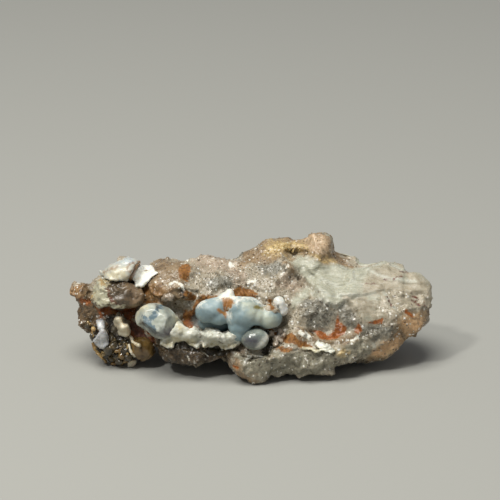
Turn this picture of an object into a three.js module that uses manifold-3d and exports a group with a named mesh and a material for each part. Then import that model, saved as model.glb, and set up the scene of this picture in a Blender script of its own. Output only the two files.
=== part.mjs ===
// A rough chalcedony: one natural stone, grown together as a single piece.
// It is a brown and grey quartz rock with a pale layered fan on the right, a tan ridge at the
// back, blue botryoidal lobes and a white banded lobe on the front, and a knobbly left end
// around a deep red-brown recess.
// Millimetres, +X along the stone to the right, +Y to the back, +Z up. The origin is the
// middle of the stone's box, on the surface that it rests on.
import * as THREE from 'three';
import { ImprovedNoise } from 'three/addons/math/ImprovedNoise.js';
import { mergeVertices } from 'three/addons/utils/BufferGeometryUtils.js';
import Module from 'manifold-3d';

// Driving dimensions: the box that the finished stone fills.
const LENGTH = 62;
const DEPTH = 27;
const HEIGHT = 21;

// The stone stands on small worn flats, where this much is rubbed off its lowest lumps.
const WORN_OFF = 0.4;

// The rock: how widely its masses run into each other, the depth and the fineness of its
// relief, and the depth of its pebbly breaks and how far apart they lie.
const BLEND = 1.1;
const ROCK_RELIEF = 0.55;
const ROCK_RELIEF_SCALE = 0.22;
const BREAK_DEPTH = 0.9;
const BREAK_SPACING = 4.6;

// The rock's skin starts as a capsule about a level line along the stone, and is drawn in
// towards that line. These are the line's height and length, the capsule's radius, and its
// facets along a round end, around the line and along it.
const AXIS_HEIGHT = 9;
const AXIS_LENGTH = 44;
const START_RADIUS = 24;
const ROCK_FACETS = { end: 8, around: 40, along: 36 };

// The skin stops this close to the rock, and moves by this share of the way that is left.
const NEAR_ENOUGH = 0.01;
const CAREFUL_STEP = 0.5;

// Relief of what grew on the rock, as a share of a lump's radius, and how fine it is.
const SMOOTH = 0.012;
const WAVY = 0.04;
const GRAINY = 0.07;
const LUMP_RELIEF_SCALE = 1.3;

// The length of the facets of each kind of lump.
const FACET = { fan: 1.2, bud: 1.4, lobe: 1.2, hollow: 1.3 };

// Which relief each kind of lump starts from.
const SEED = { rock: 1, fan: 11, bud: 21, lobe: 41, hollow: 61 };

const degrees = THREE.MathUtils.degToRad;
const noise = new ImprovedNoise();

// Each mass or lump is a ball of radii `size` about `at`, turned by `turn` degrees about X, Y
// and Z. A lump is grainy unless it names another relief.

// The masses of the rock, which run into each other.
const ROCK = [
  { name: 'left mass', at: [-14, 2, 9.2], size: [9.5, 8, 6.2] },
  { name: 'red wall', at: [-21, -0.6, 8.6], size: [5, 3.2, 4.2] },
  { name: 'rock behind the nodule', at: [-21.2, -0.2, 12.2], size: [5, 3.8, 2.9], turn: [0, -10, 0] },
  { name: 'middle mass', at: [-1, 1.5, 9], size: [12, 10.4, 7.4] },
  { name: 'right mass', at: [11, 0.6, 7.6], size: [12.5, 9.6, 6.2] },
  { name: 'right end', at: [23.2, 0.4, 8.4], size: [7.2, 7, 4.8] },
  { name: 'back bulge', at: [6, 7.1, 8], size: [13, 6, 6.4] },
  { name: 'back left bulge', at: [-12, 6, 7.5], size: [8.5, 6, 5.4] },
  { name: 'brown shoulder', at: [-14.4, -0.6, 13.8], size: [5.8, 5.6, 3.2], turn: [0, -4, 0] },
  { name: 'middle shoulder', at: [-7, 1.2, 13.9], size: [4.8, 6, 3.2], turn: [0, 6, 0] },
  { name: 'crest', at: [3, 3.2, 14.2], size: [7, 6, 3.4], turn: [0, -10, 0] },
  { name: 'ridge', at: [5, 6, 16.3], size: [6.8, 4.2, 2.9], turn: [0, -9, 6] },
  { name: 'ridge knob', at: [11, 5.4, 17.2], size: [3.2, 4, 3.2] },
  { name: 'ridge tail', at: [15.4, 5.4, 14.8], size: [4.6, 3.6, 2], turn: [0, 20, 0] },
  { name: 'right shoulder', at: [22, 4, 12.2], size: [5.4, 4.2, 2.8], turn: [0, 20, 0] },
  { name: 'front foot', at: [0.2, -10.2, 3.2], size: [4.6, 3.2, 4] },
  { name: 'toe', at: [0.8, -11.7, 1.6], size: [3, 1.6, 2.2] },
  { name: 'middle foot', at: [8, -9.6, 4], size: [6.6, 3.6, 3.7] },
  { name: 'right foot', at: [14.6, -8.6, 4.4], size: [4.2, 3.8, 3.4] },
  { name: 'right wing', at: [22.5, -3.6, 5.4], size: [7.7, 5, 4], turn: [0, -36, 0] },
  { name: 'brown underside', at: [-9.8, -7.2, 4], size: [7.4, 4.6, 2.8], turn: [0, 3, 0] },
  { name: 'back right foot', at: [14, 7, 3.5], size: [5.5, 4.6, 3.9] },
  { name: 'back left foot', at: [-8, 8, 3.8], size: [4.8, 3.8, 3.8] },
  { name: 'left knob', at: [-28.4, -0.4, 11.4], size: [2.6, 3.6, 2.1] },
  { name: 'lower left knob', at: [-27, -0.6, 7.6], size: [2.7, 3.4, 2.6] },
  { name: 'rear knob', at: [-23.5, 3.6, 6.4], size: [5, 4.6, 4.4] },
  { name: 'back left shoulder', at: [-22, 4, 10.4], size: [5.4, 5, 3.8] },
  { name: 'left underside', at: [-21, -2.4, 2.6], size: [4.6, 3.6, 2.9] },
];

// The pale slab of layered chalcedony over the right of the rock.
const FAN = [
  { name: 'pale fan', at: [18.2, -0.5, 11.2], size: [11.8, 8.6, 3.3], turn: [33, 1, 0], rough: WAVY },
];

// The knobbly left end: a nodule with a white skin over a cluster of small buds.
const BUDS = [
  { name: 'nodule', at: [-22.6, -4, 13.1], size: [4.5, 3.3, 2.3], turn: [0, 14, 0], rough: WAVY },
  { name: 'white cap', at: [-21.8, -0.6, 15.8], size: [3.5, 3.6, 2.1], turn: [0, -16, 0], rough: WAVY },
  { name: 'grey bud', at: [-25.2, -4.4, 6.2], size: [1.9, 2, 2.2] },
  { name: 'low bud', at: [-24, -3.8, 3.4], size: [2.4, 2.4, 1.9] },
  { name: 'dark bud', at: [-21, -4.4, 2.9], size: [2.4, 2.4, 2.1] },
  { name: 'golden bud', at: [-18.4, -4.4, 3.5], size: [2.3, 2.6, 2.5] },
  { name: 'upper cream bud', at: [-22.4, -4.4, 8.5], size: [1, 1.4, 0.9] },
  { name: 'lower cream bud', at: [-21.5, -4.7, 7.1], size: [1.1, 1.6, 1] },
];

// The chalcedony lobes on the front, smooth and round where they grew free.
const LOBES = [
  { name: 'banded lobe', at: [-15.9, -8, 9.5], size: [3.5, 3.4, 3.4], rough: SMOOTH },
  { name: 'left blue lobe', at: [-6.9, -8.6, 11.8], size: [3, 2.8, 2.3], turn: [0, -12, 0], rough: SMOOTH },
  { name: 'middle blue lobe', at: [-1.5, -9.4, 12.1], size: [3.4, 3.2, 2.8], rough: SMOOTH },
  { name: 'right blue lobe', at: [2.9, -8.8, 11.4], size: [2.9, 2.7, 2.1], rough: SMOOTH },
  { name: 'lower blue lobe', at: [-2, -10.2, 9.2], size: [1.9, 1.9, 2], rough: SMOOTH },
  { name: 'grey ball', at: [0.4, -11, 7.8], size: [2.2, 2, 1.9], rough: SMOOTH },
  { name: 'white bump', at: [-3.9, -6.8, 13.7], size: [1.5, 1.6, 1.2] },
  { name: 'small grey lobe', at: [5, -7.4, 11.8], size: [1.3, 1.3, 1.8], rough: SMOOTH },
  { name: 'left white drape', at: [-11, -8.8, 7.8], size: [3.2, 2, 1.5], turn: [0, 6, 0] },
  { name: 'right white drape', at: [-5.4, -9.6, 7.4], size: [3.3, 2, 1.1], turn: [0, 4, 0] },
];

// Hollows cut into the stone after the rest is joined.
const HOLLOWS = [
  { name: 'red recess', at: [-21.5, -5.2, 10.2], size: [4.2, 2.6, 1], turn: [0, 10, 0] },
  { name: 'red gap', at: [-18.9, -6.6, 7.2], size: [1, 3.8, 2.6], turn: [0, -28, 0] },
  { name: 'hole under the blue lobes', at: [-6.4, -10.6, 9.4], size: [2.6, 2.4, 0.9], turn: [0, 8, 0] },
  { name: 'hole beside the ball', at: [3, -11, 7.6], size: [1, 2, 1.2] },
  { name: 'crack in the ridge', at: [7.6, 3.4, 17.6], size: [2.6, 1.2, 0.5], turn: [0, 14, 8] },
  { name: 'orange groove', at: [13, -9.4, 7.6], size: [4.4, 1.6, 0.7], turn: [0, 4, 0] },
  { name: 'upper pit in the fan', at: [26.2, -1.6, 14.6], size: [0.9, 1, 0.6], turn: [0, 20, 0] },
  { name: 'lower pit in the fan', at: [27.6, -3.4, 11.4], size: [1, 1, 0.8], turn: [0, 30, 0] },
];

// A repeatable number from 0 to 1 for a corner of a grid.
function chance(x, y, z) {
  const spread = Math.sin(x * 127.1 + y * 311.7 + z * 74.7) * 43758.5453;
  return spread - Math.floor(spread);
}

// Layered relief from about -1 to 1 at a point, where `seed` picks which.
function relief(point, scale, seed) {
  const place = point.clone().multiplyScalar(scale);
  let sum = 0;
  for (let height = 1; height > 0.2; height /= 2) {
    sum += height * noise.noise(place.x + seed * 7.3, place.y, place.z - seed * 3.1);
    place.multiplyScalar(2.1);
  }
  return sum;
}

// How far a point is from the nearest of a scatter of points one unit apart, which swells a
// surface into pebbly breaks with creases between them.
function toNearestSeed(point) {
  const cell = point.clone().floor();
  let nearest = Infinity;
  for (let x = cell.x - 1; x <= cell.x + 1; x += 1) {
    for (let y = cell.y - 1; y <= cell.y + 1; y += 1) {
      for (let z = cell.z - 1; z <= cell.z + 1; z += 1) {
        const away = Math.hypot(
          x + chance(x, y, z) - point.x,
          y + chance(y, z, x) - point.y,
          z + chance(z, x, y) - point.z,
        );
        nearest = Math.min(nearest, away);
      }
    }
  }
  return nearest;
}

function turnOf({ turn = [0, 0, 0] }) {
  const [x, y, z] = turn.map(degrees);
  return new THREE.Matrix4().makeRotationFromEuler(new THREE.Euler(x, y, z));
}

const rockMasses = ROCK.map((mass) => ({
  centre: new THREE.Vector3(...mass.at),
  radii: new THREE.Vector3(...mass.size),
  unturn: turnOf(mass).invert(),
}));

// About how far a point is outside one mass, or inside it if that is negative.
function outsideMass(point, { centre, radii, unturn }) {
  const local = point.clone().sub(centre).applyMatrix4(unturn).divide(radii);
  const reach = local.length();
  const slope = local.divide(radii).length();
  return slope > 0 ? (reach * (reach - 1)) / slope : -radii.x;
}

// How far a point is outside the rock, with its masses blended and its breaks and relief on.
function outsideRock(point) {
  const smooth = rockMasses.reduce((nearest, mass) => {
    const away = outsideMass(point, mass);
    const shared = Math.max(BLEND - Math.abs(nearest - away), 0) / BLEND;
    return Math.min(nearest, away) - (shared * shared * BLEND) / 4;
  }, BLEND * 10);
  const pebbles = toNearestSeed(point.clone().divideScalar(BREAK_SPACING)) - 0.5;
  return smooth + pebbles * BREAK_DEPTH * 2 - relief(point, ROCK_RELIEF_SCALE, SEED.rock) * ROCK_RELIEF;
}

// Draws a point in towards another until it meets the rock.
function drawnIn(point, target) {
  const inward = target.clone().sub(point).normalize();
  const drawn = point.clone();
  let away = outsideRock(drawn);
  while (away > NEAR_ENOUGH) {
    drawn.addScaledVector(inward, away * CAREFUL_STEP);
    away = outsideRock(drawn);
  }
  return drawn;
}

// The rock's skin: the capsule, with each of its points drawn in towards its line.
function rockGeometry() {
  const { end, around, along } = ROCK_FACETS;
  const geometry = new THREE.CapsuleGeometry(START_RADIUS, AXIS_LENGTH, end, around, along)
    .rotateZ(Math.PI / 2)
    .translate(0, 0, AXIS_HEIGHT);
  const places = geometry.getAttribute('position');
  for (let i = 0; i < places.count; i += 1) {
    const start = new THREE.Vector3().fromBufferAttribute(places, i);
    const alongLine = THREE.MathUtils.clamp(start.x, -AXIS_LENGTH / 2, AXIS_LENGTH / 2);
    const skin = drawnIn(start, new THREE.Vector3(alongLine, 0, AXIS_HEIGHT));
    places.setXYZ(i, skin.x, skin.y, skin.z);
  }
  return geometry;
}

// A lump with facets about `facet` long, where `seed` picks its relief.
function lumpGeometry({ at, size, turn, rough = GRAINY }, facet, seed) {
  const meanRadius = Math.cbrt(size[0] * size[1] * size[2]);
  const geometry = new THREE.IcosahedronGeometry(1, Math.max(1, Math.round(meanRadius / facet)));
  const places = geometry.getAttribute('position');
  const direction = new THREE.Vector3();
  for (let i = 0; i < places.count; i += 1) {
    direction.fromBufferAttribute(places, i).normalize();
    direction.multiplyScalar(1 + rough * relief(direction, LUMP_RELIEF_SCALE, seed));
    places.setXYZ(i, direction.x, direction.y, direction.z);
  }
  return geometry.scale(...size).applyMatrix4(turnOf({ turn })).translate(...at);
}

const wasm = await Module();
wasm.setup();

// A closed three.js geometry as a solid that can be joined and cut.
function solidOf(geometry) {
  const bare = new THREE.BufferGeometry().setAttribute('position', geometry.getAttribute('position'));
  if (geometry.index) bare.setIndex(geometry.index);
  const merged = mergeVertices(bare, 1e-4);
  return new wasm.Manifold(new wasm.Mesh({
    numProp: 3,
    vertProperties: merged.getAttribute('position').array,
    triVerts: new Uint32Array(merged.index.array),
  }));
}

function geometryOf(solid) {
  const { vertProperties, triVerts } = solid.getMesh();
  return new THREE.BufferGeometry()
    .setAttribute('position', new THREE.BufferAttribute(vertProperties, 3))
    .setIndex(new THREE.BufferAttribute(triVerts, 1));
}

function stoneSolid() {
  const solidsOf = (lumps, kind) =>
    lumps.map((lump, i) => solidOf(lumpGeometry(lump, FACET[kind], SEED[kind] + i)));
  const grown = [...solidsOf(FAN, 'fan'), ...solidsOf(BUDS, 'bud'), ...solidsOf(LOBES, 'lobe')];
  const joined = grown.reduce((stone, lump) => stone.add(lump), solidOf(rockGeometry()));
  return solidsOf(HOLLOWS, 'hollow').reduce((stone, hollow) => stone.subtract(hollow), joined);
}

// Rubs the lowest lumps flat, so that the stone stands on them.
function wornUnderneath(solid) {
  const lowest = solid.boundingBox().min[2];
  const ground = new THREE.BoxGeometry(LENGTH * 2, DEPTH * 2, HEIGHT)
    .translate(0, 0, lowest + WORN_OFF - HEIGHT / 2);
  return solid.subtract(solidOf(ground));
}

// Brings a geometry to the driving dimensions, centred over the origin and standing on z = 0.
function fitted(geometry) {
  geometry.computeBoundingBox();
  const { min, max } = geometry.boundingBox;
  return geometry
    .translate(-(min.x + max.x) / 2, -(min.y + max.y) / 2, -min.z)
    .scale(LENGTH / (max.x - min.x), DEPTH / (max.y - min.y), HEIGHT / (max.z - min.z));
}

const stone = new THREE.Mesh(
  fitted(geometryOf(wornUnderneath(stoneSolid()))),
  new THREE.MeshStandardMaterial({ color: 0x9c8f80, roughness: 0.5, metalness: 0, flatShading: true }),
);
stone.name = 'chalcedony_stone';

const specimen = new THREE.Group();
specimen.name = 'chalcedony';
specimen.add(stone);

export default specimen;
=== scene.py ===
"""A rough chalcedony: the finish of one natural stone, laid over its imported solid.

The rock is a copy of the solid, remeshed and broken into ledges, pebbles and crystal faces.
The lobes, buds, caps and crusts of chalcedony that grew on it are pieces of their own, and so
are the small crystal points of its druse. Where a thing lies on the front of the stone, its
place is given in pixels of the photograph and found on the solid from the camera.
"""
import math

import bmesh
import bpy
import numpy as np
from bpy.props import FloatProperty, FloatVectorProperty, IntProperty, PointerProperty
from bpy.types import Operator, Panel, PropertyGroup
from mathutils import Euler, Matrix, Vector, noise
from mathutils.bvhtree import BVHTree
from mathutils.kdtree import KDTree


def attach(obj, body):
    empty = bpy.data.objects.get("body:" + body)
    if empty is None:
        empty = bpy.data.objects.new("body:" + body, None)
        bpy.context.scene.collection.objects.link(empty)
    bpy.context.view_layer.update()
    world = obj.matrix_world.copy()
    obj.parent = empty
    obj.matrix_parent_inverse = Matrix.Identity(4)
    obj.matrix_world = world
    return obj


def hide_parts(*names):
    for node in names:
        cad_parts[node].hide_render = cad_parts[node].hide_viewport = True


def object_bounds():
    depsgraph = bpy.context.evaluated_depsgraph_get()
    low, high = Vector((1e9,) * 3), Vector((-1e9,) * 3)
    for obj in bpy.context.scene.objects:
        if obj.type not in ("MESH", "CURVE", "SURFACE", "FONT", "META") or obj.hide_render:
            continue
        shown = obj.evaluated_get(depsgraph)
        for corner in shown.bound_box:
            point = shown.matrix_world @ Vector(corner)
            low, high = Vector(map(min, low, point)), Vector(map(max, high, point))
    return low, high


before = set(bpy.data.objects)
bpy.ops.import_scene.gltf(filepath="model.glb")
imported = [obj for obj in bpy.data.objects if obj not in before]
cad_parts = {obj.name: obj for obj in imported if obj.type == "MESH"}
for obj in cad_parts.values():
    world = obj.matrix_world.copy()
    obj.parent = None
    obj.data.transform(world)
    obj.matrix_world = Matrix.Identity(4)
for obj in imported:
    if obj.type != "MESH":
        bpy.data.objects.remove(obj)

bl_info = {
    "name": "Rough chalcedony",
    "version": (1, 0, 0),
    "blender": (4, 5, 0),
    "location": "View3D > Sidebar > Chalcedony",
    "description": "Makes the rock, the growths, the druse and the stage of a rough chalcedony",
    "category": "Object",
}

SOLID = "chalcedony_stone"
BODY = "root"
MM = 0.001
CAD_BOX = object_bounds()

# The photograph's frame: its side in pixels, the size of a pixel on the stone, and its camera.
FRAME_SIDE = 500
PIXEL = 0.170 * MM
LOOK_AT = Vector((-0.26, 0.0, 19.48)) * MM
CAMERA_DISTANCE = 450 * MM
CAMERA_ELEVATION = math.radians(20)
CAMERA_RIGHT = Vector((1, 0, 0))
CAMERA_UP = Vector((0, math.sin(CAMERA_ELEVATION), math.cos(CAMERA_ELEVATION)))
TO_CAMERA = Vector((0, -math.cos(CAMERA_ELEVATION), math.sin(CAMERA_ELEVATION)))
CAMERA_AT = LOOK_AT + CAMERA_DISTANCE * TO_CAMERA

# Zones of the rock's front, as shapes drawn over the photograph in its pixels. A shape is a
# list of points and the half width of the line through them, or 0 for an area inside them.
ROCK_ZONES = {
    # The frosty foot at the bottom front, its colour darkened as painted shade where it faces down and away from the
    # light.
    "frost": [
        ([(226, 350), (262, 352), (300, 350), (330, 348), (366, 334), (372, 350), (340, 370), (290, 382), (240, 376)], 0),
    ],
    "pale": [
        ([(291, 262), (300, 256), (312, 259), (325, 266), (340, 264), (356, 263), (384, 256), (404, 264), (430, 276),
          (438, 290), (432, 300), (422, 292), (408, 292), (398, 289), (386, 293), (381, 299), (378, 306), (383, 316),
          (376, 321), (364, 322), (358, 312), (352, 305), (345, 302), (336, 307), (328, 304), (321, 297), (310, 284),
          (299, 276)], 0),
        ([(296, 300), (306, 292)], 5),
    ],
    "grey": [
        ([(304, 297), (314, 298), (322, 303), (332, 308), (340, 307), (345, 303), (352, 306), (357, 312), (359, 321),
          (372, 324), (392, 326), (394, 338), (378, 340), (362, 334), (350, 330), (343, 322), (337, 314), (331, 326),
          (322, 332), (310, 328), (302, 316)], 0),
        ([(212, 282), (226, 280)], 7),
        ([(262, 268), (278, 268)], 5),
    ],
    "tan": [
        ([(240, 266), (243, 250), (262, 238), (300, 230), (336, 226), (336, 244), (344, 252), (360, 262), (356, 266),
          (338, 264), (322, 262), (312, 257), (298, 255), (286, 256), (272, 262), (258, 262)], 0),
        ([(396, 316), (408, 308), (432, 304), (434, 322), (414, 344), (380, 362), (366, 364), (372, 352), (392, 340)], 0),
        ([(284, 262), (292, 270)], 3),
        ([(236, 366), (252, 384)], 6),
    ],
    "sand": [([(304, 238), (312, 232), (326, 231), (333, 238), (333, 251), (320, 254), (306, 249)], 0)],
    "gold": [
        ([(270, 248), (284, 246), (300, 247)], 6),
        ([(313, 257), (322, 260), (334, 261)], 2.4),
        ([(337, 350), (344, 348), (350, 352), (346, 358), (339, 356)], 0),
        ([(380, 352), (392, 347)], 3),
        ([(370, 306), (374, 312)], 3),
    ],
    "pink": [
        ([(200, 258), (228, 262), (236, 276)], 8),
        ([(286, 280), (300, 290)], 8),
        ([(236, 352), (240, 370)], 9),
        ([(386, 300), (404, 300), (410, 310)], 7),
        ([(318, 240), (330, 246)], 7),
    ],
    "glass": [
        ([(128, 283), (136, 288), (147, 286), (150, 268), (158, 256), (180, 258), (190, 270), (184, 288), (178, 302),
          (160, 306), (138, 304), (126, 306)], 0),
        ([(90, 302), (98, 305)], 5),
        ([(300, 330), (318, 340), (344, 340), (356, 334)], 4),
    ],
    "amber": [
        ([(64, 292), (70, 285), (78, 282), (83, 284), (80, 294), (72, 300), (66, 302)], 0),
        ([(140, 286), (152, 284), (163, 286), (169, 292), (166, 300), (156, 303), (144, 300)], 0),
    ],
    "peach": [
        ([(404, 321), (410, 315), (420, 318), (426, 321), (422, 330), (412, 339), (403, 336), (401, 328)], 0),
        ([(378, 352), (398, 343)], 5),
    ],
    "brown": [
        ([(139, 262), (134, 269), (130, 279)], 2.4),
        ([(66, 294), (76, 284), (88, 278), (94, 292), (82, 302), (70, 304)], 0),
        ([(64, 302), (84, 301), (98, 304), (100, 318), (94, 332), (92, 348), (80, 334)], 0),
    ],
    # The dark brown underside of the overhang, darkened near to black as painted shade.
    "umber": [
        ([(92, 334), (112, 340), (158, 340), (174, 342), (232, 342), (232, 356), (226, 362), (205, 368), (150, 366),
          (96, 372)], 0),
    ],
    "red": [
        ([(97, 303), (110, 308), (122, 308), (134, 302), (137, 312), (134, 318), (140, 329), (152, 336), (155, 344),
          (150, 348), (140, 338), (130, 336), (126, 322), (120, 314), (108, 316), (98, 318)], 0),
        ([(106, 326), (110, 334), (114, 339)], 2.6),
        ([(82, 300), (92, 303)], 2.6),
    ],
    "ochre": [
        ([(233, 288), (241, 285), (252, 287), (258, 292), (253, 297), (244, 295.6), (236, 296)], 0),
        ([(221, 298), (229, 297), (236, 302), (232, 309), (223, 308)], 0),
        ([(220, 309), (225, 315)], 2),
        ([(218, 295), (208, 297), (199, 300), (194, 308), (192, 314)], 2.3),
        ([(183, 312), (193, 310), (199, 320), (199, 330), (190, 332), (185, 325)], 0),
        ([(270, 298), (273, 306)], 2.4),
        ([(178, 268), (185, 262), (192, 266), (189, 280), (179, 278)], 0),
        ([(184, 293), (190, 299)], 3.4),
        ([(268, 327), (276, 334)], 3),
        ([(285, 333), (292, 333), (302, 339), (316, 348), (308, 348), (296, 344), (280, 341), (277, 337)], 0),
        ([(278, 348), (290, 350)], 2),
        ([(112, 313), (124, 314)], 1.6),
        ([(142, 285), (144, 292)], 1.6),
        ([(136, 302), (146, 303), (158, 304)], 1.4),
    ],
    "rust": [
        ([(337.6, 313), (340.5, 322), (347.5, 327), (345.5, 333), (337, 338), (330, 339), (321, 340), (313, 332),
          (321, 331), (327, 335), (331, 332), (334, 331), (335.5, 325)], 0),
        ([(358, 322), (363, 330), (359, 334), (354, 332)], 0),
        ([(367, 323), (376, 320), (384, 317), (382, 323), (374, 324)], 0),
        ([(230, 366), (238, 368)], 1.6),
        ([(188, 322), (194, 327)], 2.4),
        ([(406, 312), (412, 316)], 1.6),
    ],
    # On the front this is painted shade in holes, cracks, creases and the gaps under the drapes and the blue lobe; on
    # the hidden sides, dark patches.
    "dark": [
        ([(108, 317), (112, 316), (114, 322), (118, 327), (120, 334), (128, 338), (131, 342), (122, 342), (114, 336),
          (109, 327)], 0),
        ([(228, 330), (238, 335)], 2),
        ([(172, 346), (184, 345), (196, 349), (214, 348), (238, 349)], 2.6),
        ([(174, 344), (183, 343), (192, 347)], 3.6),
        ([(203, 349), (214, 347), (220, 349)], 3.4),
        ([(264, 336), (270, 342), (266, 349)], 4),
        ([(243, 355), (250, 355.4), (262, 356)], 1.6),
        ([(246, 362), (252, 358.6)], 1.2),
        ([(181, 291), (182, 297)], 1.6),
        ([(320, 301), (324, 303.6), (329, 306)], 0.5),
        ([(287, 251.6), (295, 252.4)], 0.3),
        ([(312, 333), (314, 336)], 0.9),
        ([(148, 344), (156, 350)], 2.4),
    ],
    # White flecks and crystals, and on the brown underside a few painted glints.
    "white": [
        ([(101, 274), (108, 276), (116, 278)], 1.6),
        ([(170, 285), (175, 282), (181, 285), (183, 290)], 1.4),
        ([(230, 262.6), (233, 264)], 1.4),
        ([(249, 281), (256, 280)], 1.3),
        ([(285, 268), (288, 265)], 0.8),
        ([(281, 273), (284, 272)], 0.9),
        ([(300, 333), (310, 339)], 1.2),
        ([(352, 340), (360, 336)], 1.2),
        ([(206, 353.6), (209, 354)], 1),
        ([(187, 358), (189, 361)], 0.8),
        ([(194, 362), (196, 363)], 0.8),
        ([(246, 353), (250, 354), (248, 359), (245, 362)], 0.7),
        ([(255, 353), (262, 354)], 0.5),
        ([(76, 280), (84, 277.6)], 0.8),
    ],
    "blush": [
        ([(380, 296), (392, 288), (404, 284), (404, 270), (430, 280), (438, 292), (434, 308), (410, 312), (396, 316),
          (384, 310)], 0),
        ([(360, 300), (380, 308), (376, 318)], 5),
        ([(362, 296), (364, 282), (374, 267), (404, 262), (406, 300)], 0),
        ([(342, 299), (372, 300), (380, 316), (362, 319)], 0),
    ],
    "maroon": [
        ([(413, 295.4), (416, 296), (419, 298.4)], 0.9),
        ([(413, 300.4), (416, 302), (420, 305.6)], 1.0),
        ([(400, 272.6), (404, 273.6), (407, 273)], 0.7),
        ([(396, 277.6), (402, 278.4)], 0.5),
        ([(387, 297), (389, 301), (391, 306)], 0.7),
        ([(366, 284), (376, 284.6)], 0.4),
        ([(384, 279), (394, 280)], 0.4),
        ([(424, 303), (426, 306)], 0.7),
        ([(133, 324), (139, 333), (146, 341), (152, 347)], 4),
    ],
    "vein": [
        ([(341, 265), (350, 268), (354, 273), (354, 280), (348, 285)], 0.8),
        ([(316, 274), (326, 282), (338, 287)], 0.7),
        ([(304, 285), (316, 292), (323, 300), (330, 305), (336, 307), (345, 303)], 1.1),
        ([(320, 292), (330, 297), (345, 298), (360, 297), (375, 293)], 0.7),
        ([(384, 293), (388, 299), (391, 306), (396, 310)], 1.3),
        ([(368, 270), (385, 277), (400, 281), (416, 282)], 0.8),
        ([(356, 264), (370, 264), (384, 261), (394, 265), (403, 271)], 1.2),
        ([(372, 342), (376, 350)], 1.4),
    ],
    # Painted shade on the rock under the left blue lobe, slate blue.
    "slate": [([(196, 320), (206, 324), (218, 328), (232, 330)], 5)],
    "crag": [
        ([(226, 352), (240, 350), (262, 356), (284, 352), (300, 352), (356, 350), (356, 372), (330, 386), (290, 392),
          (256, 394), (238, 384), (226, 368)], 0),
        ([(156, 350), (200, 366), (226, 362)], 7),
        ([(204, 258), (236, 262), (248, 256)], 6),
        ([(66, 300), (84, 301), (96, 306), (98, 332), (84, 338), (68, 320)], 0),
    ],
    "sparkle": [
        ([(192, 266), (235, 268), (270, 262), (292, 258), (300, 276), (310, 290), (304, 300), (300, 320), (292, 326),
          (284, 318), (286, 300), (270, 292), (240, 284), (215, 290), (196, 294), (188, 284)], 0),
        ([(312, 312), (346, 318), (388, 332)], 12),
        ([(78, 306), (88, 324)], 9),
        ([(198, 352), (212, 352)], 3),
    ],
}

# The same zones on the hidden sides, as balls: centre and radii in millimetres.
HIDDEN_ZONES = {
    "pale": [((20, 4, 13), (12, 12, 7))],
    "tan": [((9, 5, 18), (9, 6, 4)), ((26, 2, 5), (6, 8, 3)), ((-6, 12, 8), (6, 4, 3))],
    # The frost of the underside, darkened as painted shade.
    "frost": [((8, 0, 1), (16, 12, 3)), ((-8, 12, 14), (4, 5, 2))],
    "brown": [((-26, 2, 6), (7, 9, 7)), ((-12, 2, 1), (12, 10, 3))],
    "amber": [((-29, 0, 11), (4, 5, 4)), ((29, 5, 8), (4, 4, 3))],
    "pink": [((-16, 8, 13), (7, 7, 5))],
    "ochre": [((-4, 12, 12), (2.6, 3, 1.0)), ((14, 12, 10), (2.6, 3, 0.8)), ((-18, 10, 7), (1.6, 4, 0.9))],
    "rust": [((7, 12, 7), (2.4, 3, 0.7)), ((-23, 7, 8), (1.5, 3, 0.7))],
    "dark": [((0, 12, 4), (2.4, 3, 0.8)), ((19, 10, 5), (2.2, 3, 0.8))],
    "red": [((-9, 13, 8), (2.0, 3, 0.8))],
    "grey": [((2, 10, 14), (7, 5, 4)), ((-14, 12, 5), (6, 4, 3))],
}

# How much the edges of the hidden zones wander.
HIDDEN_WANDER = 0.3

# Ledges of the pale glass: a line in pixels whose upper side stands out, by a height in
# millimetres that fades to nothing over a width in pixels.
LEDGES = [
    ([(300, 279), (310, 287), (318, 293), (323, 300), (330, 305), (336, 307), (342, 304), (346, 302)], 0.55, 24),
    ([(346, 302), (353, 306), (358, 312), (360, 321)], 0.4, 20),
    ([(314, 275), (320, 281), (328, 285), (338, 287), (348, 285), (354, 279), (354, 272), (348, 267)], 0.45, 18),
    ([(318, 291), (330, 297), (345, 298), (360, 297), (375, 293), (384, 291)], 0.34, 14),
    ([(396, 312), (391, 307), (387, 300), (384, 292)], 0.3, 14),
    ([(366, 270), (385, 279), (400, 283), (418, 284)], 0.18, 12),
    ([(356, 300), (368, 301), (378, 306), (384, 315)], 0.22, 16),
    ([(403, 292), (403, 282), (404, 270)], 0.25, 12),
    ([(396, 318), (404, 312), (416, 308), (430, 308)], 0.3, 14),
    ([(290, 328), (300, 334), (312, 340), (326, 344), (340, 343), (352, 338)], 0.45, 8),
    ([(226, 352), (240, 352), (252, 356), (266, 350), (284, 349), (300, 350)], 0.35, 9),
]

# The zones that are smooth, and so keep their ledges but lose their grains and points.
SMOOTH_ZONES = ("pale", "glass", "amber", "red", "white")

# How far inside a zone's edge, in pixels, its value comes to its most.
ZONE_DEPTH = 8

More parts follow.
